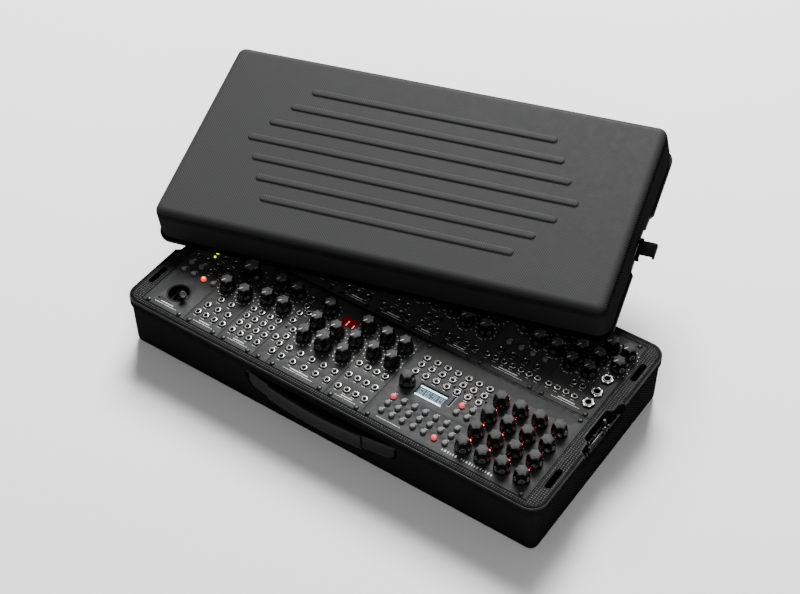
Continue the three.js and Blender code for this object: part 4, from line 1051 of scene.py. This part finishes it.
def digit(cx, cy, on):
    w, h, t = 4.2, 8.0, 1.1
    segs = {"a": (-w / 2, h / 2 - t, w / 2, h / 2), "g": (-w / 2, -t / 2, w / 2, t / 2), "d": (-w / 2, -h / 2, w / 2, -h / 2 + t),
            "f": (-w / 2, t / 2, -w / 2 + t, h / 2), "b": (w / 2 - t, t / 2, w / 2, h / 2), "e": (-w / 2, -h / 2, -w / 2 + t, -t / 2), "c": (w / 2 - t, -h / 2, w / 2, -t / 2)}
    for k in on:
        s = segs[k]
        q0, q1 = P(cx + s[0], cy + s[1]), P(cx + s[2], cy + s[3])
        b.add(box_mesh(q0.x, q0.y, H - 1.2, q1.x, q1.y, H - 0.75), mat=1)


digit(222.0, 102.6, "bc")
q0, q1 = P(231.9, 98.2), P(232.8, 103.6)
b.add(box_mesh(q0.x, q0.y, H - 1.2, q1.x, q1.y, H - 0.75), mat=1)
b.make("voice_number_display", ["recess", "digit_red", "glow_red"], slot="screen")

# thin printed line round the card slot
b = Build()
for q in ((388.0, 61.1, 391.4, 61.3), (388.0, 78.9, 391.4, 79.1), (391.2, 61.1, 391.4, 79.1)):
    ink(b, *q)
b.make("card_slot_line", "white", slot="panel_metal")

# card slot lining
c0, c1 = P(388.95, 62.3), P(390.45, 77.9)
Build().add(box_mesh(c0.x, c0.y, H - 5, c1.x, c1.y, H - 1.4)).make("card_slot_lining", "bore", slot="inlet_plastic")

# ------------------------------------------------------------------ joystick
polish("joystick_housing", "inlet")
polish("joystick_gimbal", "steel", 0.4)
sx, sy, sz = STICK
T = Matrix.Translation(P(sx, sy, sz)) @ Matrix.Rotation(math.radians(13.7), 4, "X") @ Matrix.Rotation(math.radians(28.5), 4, "Y")
L = 26.5
prof = fillet_path([(0, -5, 0), (3.4, -4.2, 1), (4.6, -1.5, 1.2), (4.6, 1.5, 1.2), (3.4, 4.2, 1.0), (1.75, 6.0, 0.8), (1.75, L - 7, 0.6), (2.7, L - 5.4, 0.6),
                    (4.7, L - 3.6, 0.8), (4.9, L - 2, 0.9), (4.2, L - 0.4, 0.8), (2.6, L - 0.6, 0.5), (0, L - 0.9, 0)], 5)
b = Build().add(lathe([(0, -5)] + [tuple(p) for p in prof[1:-1]] + [(0, L - 0.9)], 48), mat=1)
b.add(rod(1.3, (0, -9.4, 0), (0, 9.4, 0), 20), mat=1)
b.add(lathe([(0, L - 1.2), (3.9, L - 1.2), (3.9, L - 0.2), (3.6, L + 0.05), (2.6, L - 0.25), (0, L - 0.3)], 40))
b.make("joystick_stick_body", ["cap", "shaft"], body="joystick_stick", nodes=["joystick_stick"], slot="stick_plastic", matrix=T)
Build().add(lathe([(13.4, -1.0), (14.8, -1.0), (14.8, 0.25), (14.5, 0.5), (13.8, 0.52), (13.4, 0.22)], 64), at=P(sx, sy)).make("joystick_bezel", "bore", slot="inlet_plastic")

# ------------------------------------------------------------------ handle
def bow(x):
    """Middle plane of the strap at x: it stands forward in the middle."""
    return -145.8 + 9.3 * ((x + 0.5) / 101.5) ** 2


def across(x, t, z0, z1, q, n):
    pts = rrect(t, (z1 - z0) / 2, min(q, t * 0.98, (z1 - z0) * 0.49), 0, n)
    return np.array([(x, bow(x) + p[0], (z0 + z1) / 2 + p[1]) for p in pts])


def build_handle():
    zt, zb, end, er = H - 19.3, H - 41.0, 101.5, 9.5

    def strap(x):
        d = end - abs(x + 0.5)
        q = er - math.sqrt(max(0.0, er * er - (er - d) ** 2)) if d < er else 0.0
        k = max(0.0, 1 - d / 0.9)
        return across(x, 1.7 - 0.7 * k * k, zb + q * 0.95, zt - q * 0.35, 1.3, 6)
    ds = [0, 0.08, 0.3, 0.9, 1.8, 3.0, 4.6, 6.8, 9.5]
    xs = [-end + d for d in ds] + list(np.linspace(-89, 89, 61)) + [end - d for d in ds[::-1]]
    b = Build().add(loft([strap(x - 0.5) for x in xs]))
    for s in (-1, 1):
        p, q = (-0.5 + s * 99.5, -136.5, H - 21.6), (-0.5 + s * 108.0, -136.5, H - 21.6)
        b.add(rod(1.9, p, q, 20))
    b.make("handle_strap_skin", "rubber", body="handle", nodes=["handle_strap"], slot="rubber_black", angle=30)
    # grip: a sleeve with eased ends
    g0, g1 = -70.0, 61.0

    def sleeve(x, inset):
        return across(x, 4.1 - inset, H - 42.0 + inset, H - 18.0 - inset, 3.0, 8)
    rings = [sleeve(g0 + t, i) for t, i in ((0, 1.1), (0.08, 0.75), (0.35, 0.35), (0.75, 0.1), (1.3, 0.0))]
    rings += [sleeve(x, 0.0) for x in np.linspace(g0 + 3, g1 - 3, 51)]
    rings += [sleeve(g1 - t, i) for t, i in ((1.3, 0.0), (0.75, 0.1), (0.35, 0.35), (0.08, 0.75), (0, 1.1))]
    Build().add(loft(rings)).make("handle_grip_sleeve", "rubber", body="handle", nodes=["handle_grip"], slot="rubber_black", angle=40)


build_handle()

# ------------------------------------------------------------------ latch keepers
for nm, s in (("latch_keeper_right", 1), ("latch_keeper_left", -1)):
    x, z, k0, k1 = 281.1, H - 8, -26.4, 1.6
    b = Build()
    b.add(rod(1.25, (s * x, k0 - 1, z), (s * x, k1 + 1, z), 24))
    for q0, q1 in ((k0 - 3.4, k0), (k1, k1 + 3.4)):
        a, c = sorted((s * 279.4, s * 283.3))
        b.add(rbox(a, q0, H - 14.7, c, q1, z + 2.4, 0.5), mat=1)
    a, c = sorted((s * 281.3, s * 283.3))
    b.add(rbox(a, k0 - 3.4, H - 14.7, c, k1 + 3.4, H - 12.9, 0.3), mat=2)
    b.add(rod(2.7, (s * (x + 0.9), k1 + 2, z + 0.6), (s * (x + 0.9), k1 + 5.4, z + 0.6), 24, 0.6))
    b.make(nm + "_body", ["dark_steel", "inlet", "recess"], nodes=[nm], slot="steel", angle=30)
    # moulded ribs and bosses on the floor of the latch recess
    b = Build()
    for q0, q1, h in ((-42.0, -36.6, 3.4), (-35.4, -33.0, 5.2), (8.4, 10.8, 5.2), (12.4, 38.6, 2.6)):
        a, c = sorted((s * 279.6, s * 282.9))
        b.add(rbox(a, q0, H - 15.2, c, q1, H - 15.0 + h, 0.6))
    for q in (-38.8, 14.6, 33.0):
        b.add(lathe([(0, 0), (1.5, 0), (1.5, 2.4), (1.2, 2.8), (0, 2.9)], 20), at=(s * 281.2, q, H - 12.9))
    for q0, q1 in ((-21.8, -19.6), (-13.2, -11.0), (-4.6, -2.4), (18.4, 20.6)):
        a, c = sorted((s * 272.6, s * 278.4))
        b.add(rbox(a, q0, H - 24.2, c, q1, H - 20.0, 0.5))
    # bar, guide blocks and boss inside the pocket
    a, c = sorted((s * 274.6, s * 276.4))
    b.add(rbox(a, -20.6, H - 13.2, c, 14.0, H - 11.4, 0.5), mat=1)
    for q0, q1, zt in ((-22.6, -19.0, -8.6), (-9.0, -5.6, -9.6), (12.4, 17.0, -7.4)):
        a, c = sorted((s * 273.4, s * 278.0))
        b.add(rbox(a, q0, H - 20.5, c, q1, H + zt, 0.7), mat=1)
    b.add(lathe([(0, 0), (1.9, 0), (1.9, 1.6), (1.5, 2.1), (0, 2.2)], 24), at=(s * 275.7, 14.7, H - 7.5), mat=1)
    b.make(nm + "_recess_ribs", ["ridge", "bead", "dark_steel"], slot="inlet_plastic", angle=34)
    # rolled bead along the edge of the cut-out in the frame
    path = [(s * px, py) for px, py in round_poly([(283.2, -45.3, 0), (278.55, -42.3, 2.5), (277.95, -28.0, 3), (271.5, -25.0, 3), (271.5, 24.4, 4), (277.95, 27.2, 3),
                                                  (278.55, 40.2, 2.5), (283.2, 43.2, 0)], 8)]
    path = [Vector(q) for q in path]
    rings = []
    for i, q in enumerate(path):
        d = (path[min(i + 1, len(path) - 1)] - path[max(i - 1, 0)]).normalized()
        nrm = Vector((d.y, -d.x)) * s
        rings.append([(q.x + nrm.x * 0.5 * math.cos(t), q.y + nrm.y * 0.5 * math.cos(t), H - 0.05 + 0.5 * math.sin(t)) for t in np.linspace(0, 2 * math.pi, 10, endpoint=False)])
    Build().add(loft([np.array(q) for q in rings])).make(nm + "_recess_bead", "bead", slot="frame_plastic", angle=50)

# ------------------------------------------------------------------ lid
def in_lid(ob, name, mats, node, slot, angle):
    """A finished body drawn in the lid's own frame becomes part of the lid."""
    vv = np.array([tuple(q.co) for q in ob.data.vertices])
    ff = [tuple(p.vertices) for p in ob.data.polygons]
    bpy.data.objects.remove(ob)
    return Build().add((vv, ff)).make(name, mats, body="lid", nodes=[node], slot=slot, matrix=LID, angle=angle)


def build_lid():
    pr = fillet_path([
        (255.0, 111.5, 8.0, -3.4, 0), (271.0, 127.5, 8.0, -3.9, 3.0), (275.1, 131.6, 9.0, -12.0, 4.0), (280.3, 135.0, 15.0, -48.4, 0.2),
        (282.2, 136.9, 16.6, -48.4, 0.2), (281.4, 136.6, 15.6, -41.4, 0.3), (282.6, 137.7, 16.8, -40.9, 0.4),
        (278.6, 135.4, 10.4, -8.0, 4.0), (276.6, 133.4, 9.0, -2.6, 2.8), (271.5, 128.3, 6.5, 0.0, 4.0), (262.0, 118.8, 5.0, 0.0, 0)], 7)
    ob = temp(loft([rrect(a, b, r, z, 20) for a, b, r, z in pr]), "lid_shell_skin")
    rr = fillet_path([
        (279.2, 134.05, 14.3, -43.6, 0), (277.2, 132.0, 14.0, -42.8, 0.3), (277.2, 132.0, 14.0, -53.7, 0.8), (285.0, 141.0, 19.0, -53.7, 1.3),
        (285.0, 141.0, 19.0, -48.75, 1.2), (279.95, 134.65, 15.0, -48.7, 0.2), (279.2, 134.05, 14.3, -43.6, 0)], 6)[:-1]
    rim = temp(loft([rrect(a, b, r, z, 24) for a, b, r, z in rr], closed=True), "lid_rim_skin")

    def notch(dx, z):
        pts = round_poly([(300, -50, 0), (285.6 + dx, -46.5, 2.5), (281.4 + dx, -41, 3), (281.0 + dx, -29, 3),
                          (281.0 + dx, 27, 3), (281.4 + dx, 38, 3), (285.6 + dx, 44.5, 2.5), (300, 48, 0)], 6)
        return np.array([(x, y, z) for x, y in pts])
    deep = round_poly([(279.0, -25.2, 2.5), (300, -25.2, 0), (300, 22, 0), (279.0, 22, 2.5)], 6)
    for s in (1, -1):
        flip = np.array([s, 1, 1])

        def M_(vf):
            v, f = vf
            return np.asarray(v, float) * flip, [tuple(q[::s]) for q in f]
        step = loft([notch(-1.9, -24.5), notch(0.2, -56)])
        well = prism_xy(deep, -60, -34.5)
        boolean(ob, M_(box_mesh(274.4, -51, -48.4, 280.7, 49, -22)), "UNION")
        boolean(ob, M_(step))
        boolean(ob, M_(well))
        boolean(rim, M_(box_mesh(276.6, -54, -48.7, 280.4, 52, -42)))
        boolean(rim, M_(box_mesh(273.6, -54, -53.4, 280.1, 52, -48.7)), "UNION")
        boolean(rim, M_(step))
        boolean(rim, M_(well))
    shell = in_lid(ob, "lid_shell_skin", "lid", "lid_shell", "lid_plastic", 34)
    rim = in_lid(rim, "lid_rim_skin", "rim", "lid_rim", "rim_plastic", 34)
    for o in (shell, rim):
        b = o.modifiers.new("edge", "BEVEL")
        b.width, b.segments, b.limit_method, b.angle_limit = 0.0005, 2, "ANGLE", math.radians(42)
        w = o.modifiers.new("normals", "WEIGHTED_NORMAL")
        w.keep_sharp = True

    # raised straight bars with round ends and eased edges
    b = Build()
    for i in range(-3, 4):
        hx, cy = 204.0 - 17 * abs(i), 28.0 * i
        b.add(loft([rrect(hx + w, w, w * 0.999, z, 14, 0, cy) for w, z in
                    ((5.0, -0.4), (5.0, 0.0), (4.9, 0.35), (4.55, 0.95), (3.95, 1.45), (3.1, 1.75), (2.0, 1.85))]))
    b.make("lid_raised_bars", "lid", body="lid", slot="lid_plastic", matrix=LID, angle=40)

    # ears and pins of the latch clips
    b = Build()
    for s in (1, -1):
        for ey in (-24.0, 1.0):
            a, c = sorted((s * 277.4, s * 284.9))
            b.add(rbox(a, ey, -53.3, c, ey + 2.6, -49.2, 0.4))
            a, c = sorted((s * 280.1, s * 284.9))
            b.add(rbox(a, ey, -50.0, c, ey + 2.6, -43.8, 0.6))
        b.add(rod(1.3, (s * 282.6, -22.6, -46.8), (s * 282.6, 2.2, -46.8), 20, 0.1), mat=1)
    b.make("lid_clip_ears", ["rim", "steel"], body="lid", slot="rim_plastic", matrix=LID, angle=34)

    # latch clips: knuckle, tab with finger ribs, hook
    for nm, s in (("latch_clip_right", 1), ("latch_clip_left", -1)):
        b = Build()
        kn = lathe([(1.65, 0), (2.4, 0), (2.7, 0.3), (2.7, 21.5), (2.4, 21.8), (1.65, 21.8)], 28)
        b.add(kn, matrix=Matrix.Translation((0, 10.9, 0)) @ Matrix.Rotation(math.radians(90), 4, "X"))
        b.add(plate([round_poly([(-1.5, -9.7, 0.5), (19.5, -9.7, 2.2), (19.5, 9.7, 2.2), (-1.5, 9.7, 0.5)], 6)], 1.5, 4.3, 0.5, 3))
        b.add(rbox(16.8, -9.4, -2.4, 19.5, 9.4, 2.6, 0.3))
        b.add(rbox(6.0, -3.4, 4.1, 9.6, 3.4, 4.9, 0.4))
        for gx in (12.4, 14.4, 16.4):
            b.add(rbox(gx - 0.45, -7.2, 4.1, gx + 0.45, 7.2, 4.7, 0.25))
        m = LID @ Matrix.Translation((s * 282.6, -10.2, -46.8))
        if s < 0:
            m = m @ Matrix.Rotation(math.radians(-88.0), 4, "Y") @ Matrix.Scale(-1, 4, (1, 0, 0))
        b.make(nm + "_body", "clip", body=nm, nodes=[nm], slot="rim_plastic", matrix=m, angle=34)

    # foam liner
    pr = fillet_path([(240, 96, 8, -3.9, 0), (258, 114, 13, -3.9, 1.0), (256, 112, 12, -13.0, 2.0), (249, 105, 10, -15.6, 3.0), (236, 92, 8, -15.6, 0)], 5)
    Build().add(loft([rrect(a, b_, r, z, 10) for a, b_, r, z in pr])).make("lid_foam_liner", "foam", body="lid", nodes=["lid_foam"], slot="foam", matrix=LID)


build_lid()

# ------------------------------------------------------------------ carried-over CAD pieces
for nm in ("rail_front", "rail_middle_front", "rail_middle_rear", "rail_rear"):
    polish(nm, "rail", 0.25)
for nm in ("rail_bracket_left", "rail_bracket_right"):
    polish(nm, "bracket", 0.3)
polish("power_inlet", "inlet", 0.35)
polish("power_switch", "inlet", 0.35)
polish("power_supply_board", "board", 0.3)
polish("front_row_boards", "board", 0.3)
polish("rear_row_boards", "board", 0.3)

# ------------------------------------------------------------------ stage and light
def soft_light(name, at, size, power, look=(0, 0.05, 0.08), colour=(1, 1, 1), shape=None):
    d = bpy.data.lights.new(name, "AREA")
    d.energy, d.size, d.color = power, size, colour
    if shape:
        d.shape, d.size_y = "RECTANGLE", shape
    o = bpy.data.objects.new(name, d)
    bpy.context.scene.collection.objects.link(o)
    o.location = at
    o.rotation_mode = "QUATERNION"
    o.rotation_quaternion = (Vector(look) - Vector(at)).to_track_quat("-Z", "Y")
    return o


floor = Build().add(box_mesh(-9000, -9000, -20, 9000, 9000, 0))
me = bpy.data.meshes.new("floor")
me.from_pydata((np.concatenate(floor.v) * 0.001).tolist(), [], floor.f)
fm = Mat("floor_white", (0.88, 0.88, 0.88), 0.9, Specular_IOR_Level=0.2)
vary(fm, size=400, spread=0.01, r=0.03, grain=2, grain_mm=0.02)
me.materials.append(fm.m)
fo = bpy.data.objects.new("floor", me)
bpy.context.scene.collection.objects.link(fo)

world = bpy.data.worlds.new("world")
world.use_nodes = True
world.node_tree.nodes["Background"].inputs[0].default_value = (1, 1, 1, 1)
world.node_tree.nodes["Background"].inputs[1].default_value = 0.20
bpy.context.scene.world = world
soft_light("key_rear_left", (-1.50, 2.75, 3.22), 1.9, 640)
soft_light("sheen", (-0.30, 1.60, 2.85), 0.8, 16)
soft_light("fill_front_right", (1.6, -1.4, 1.3), 1.0, 16)
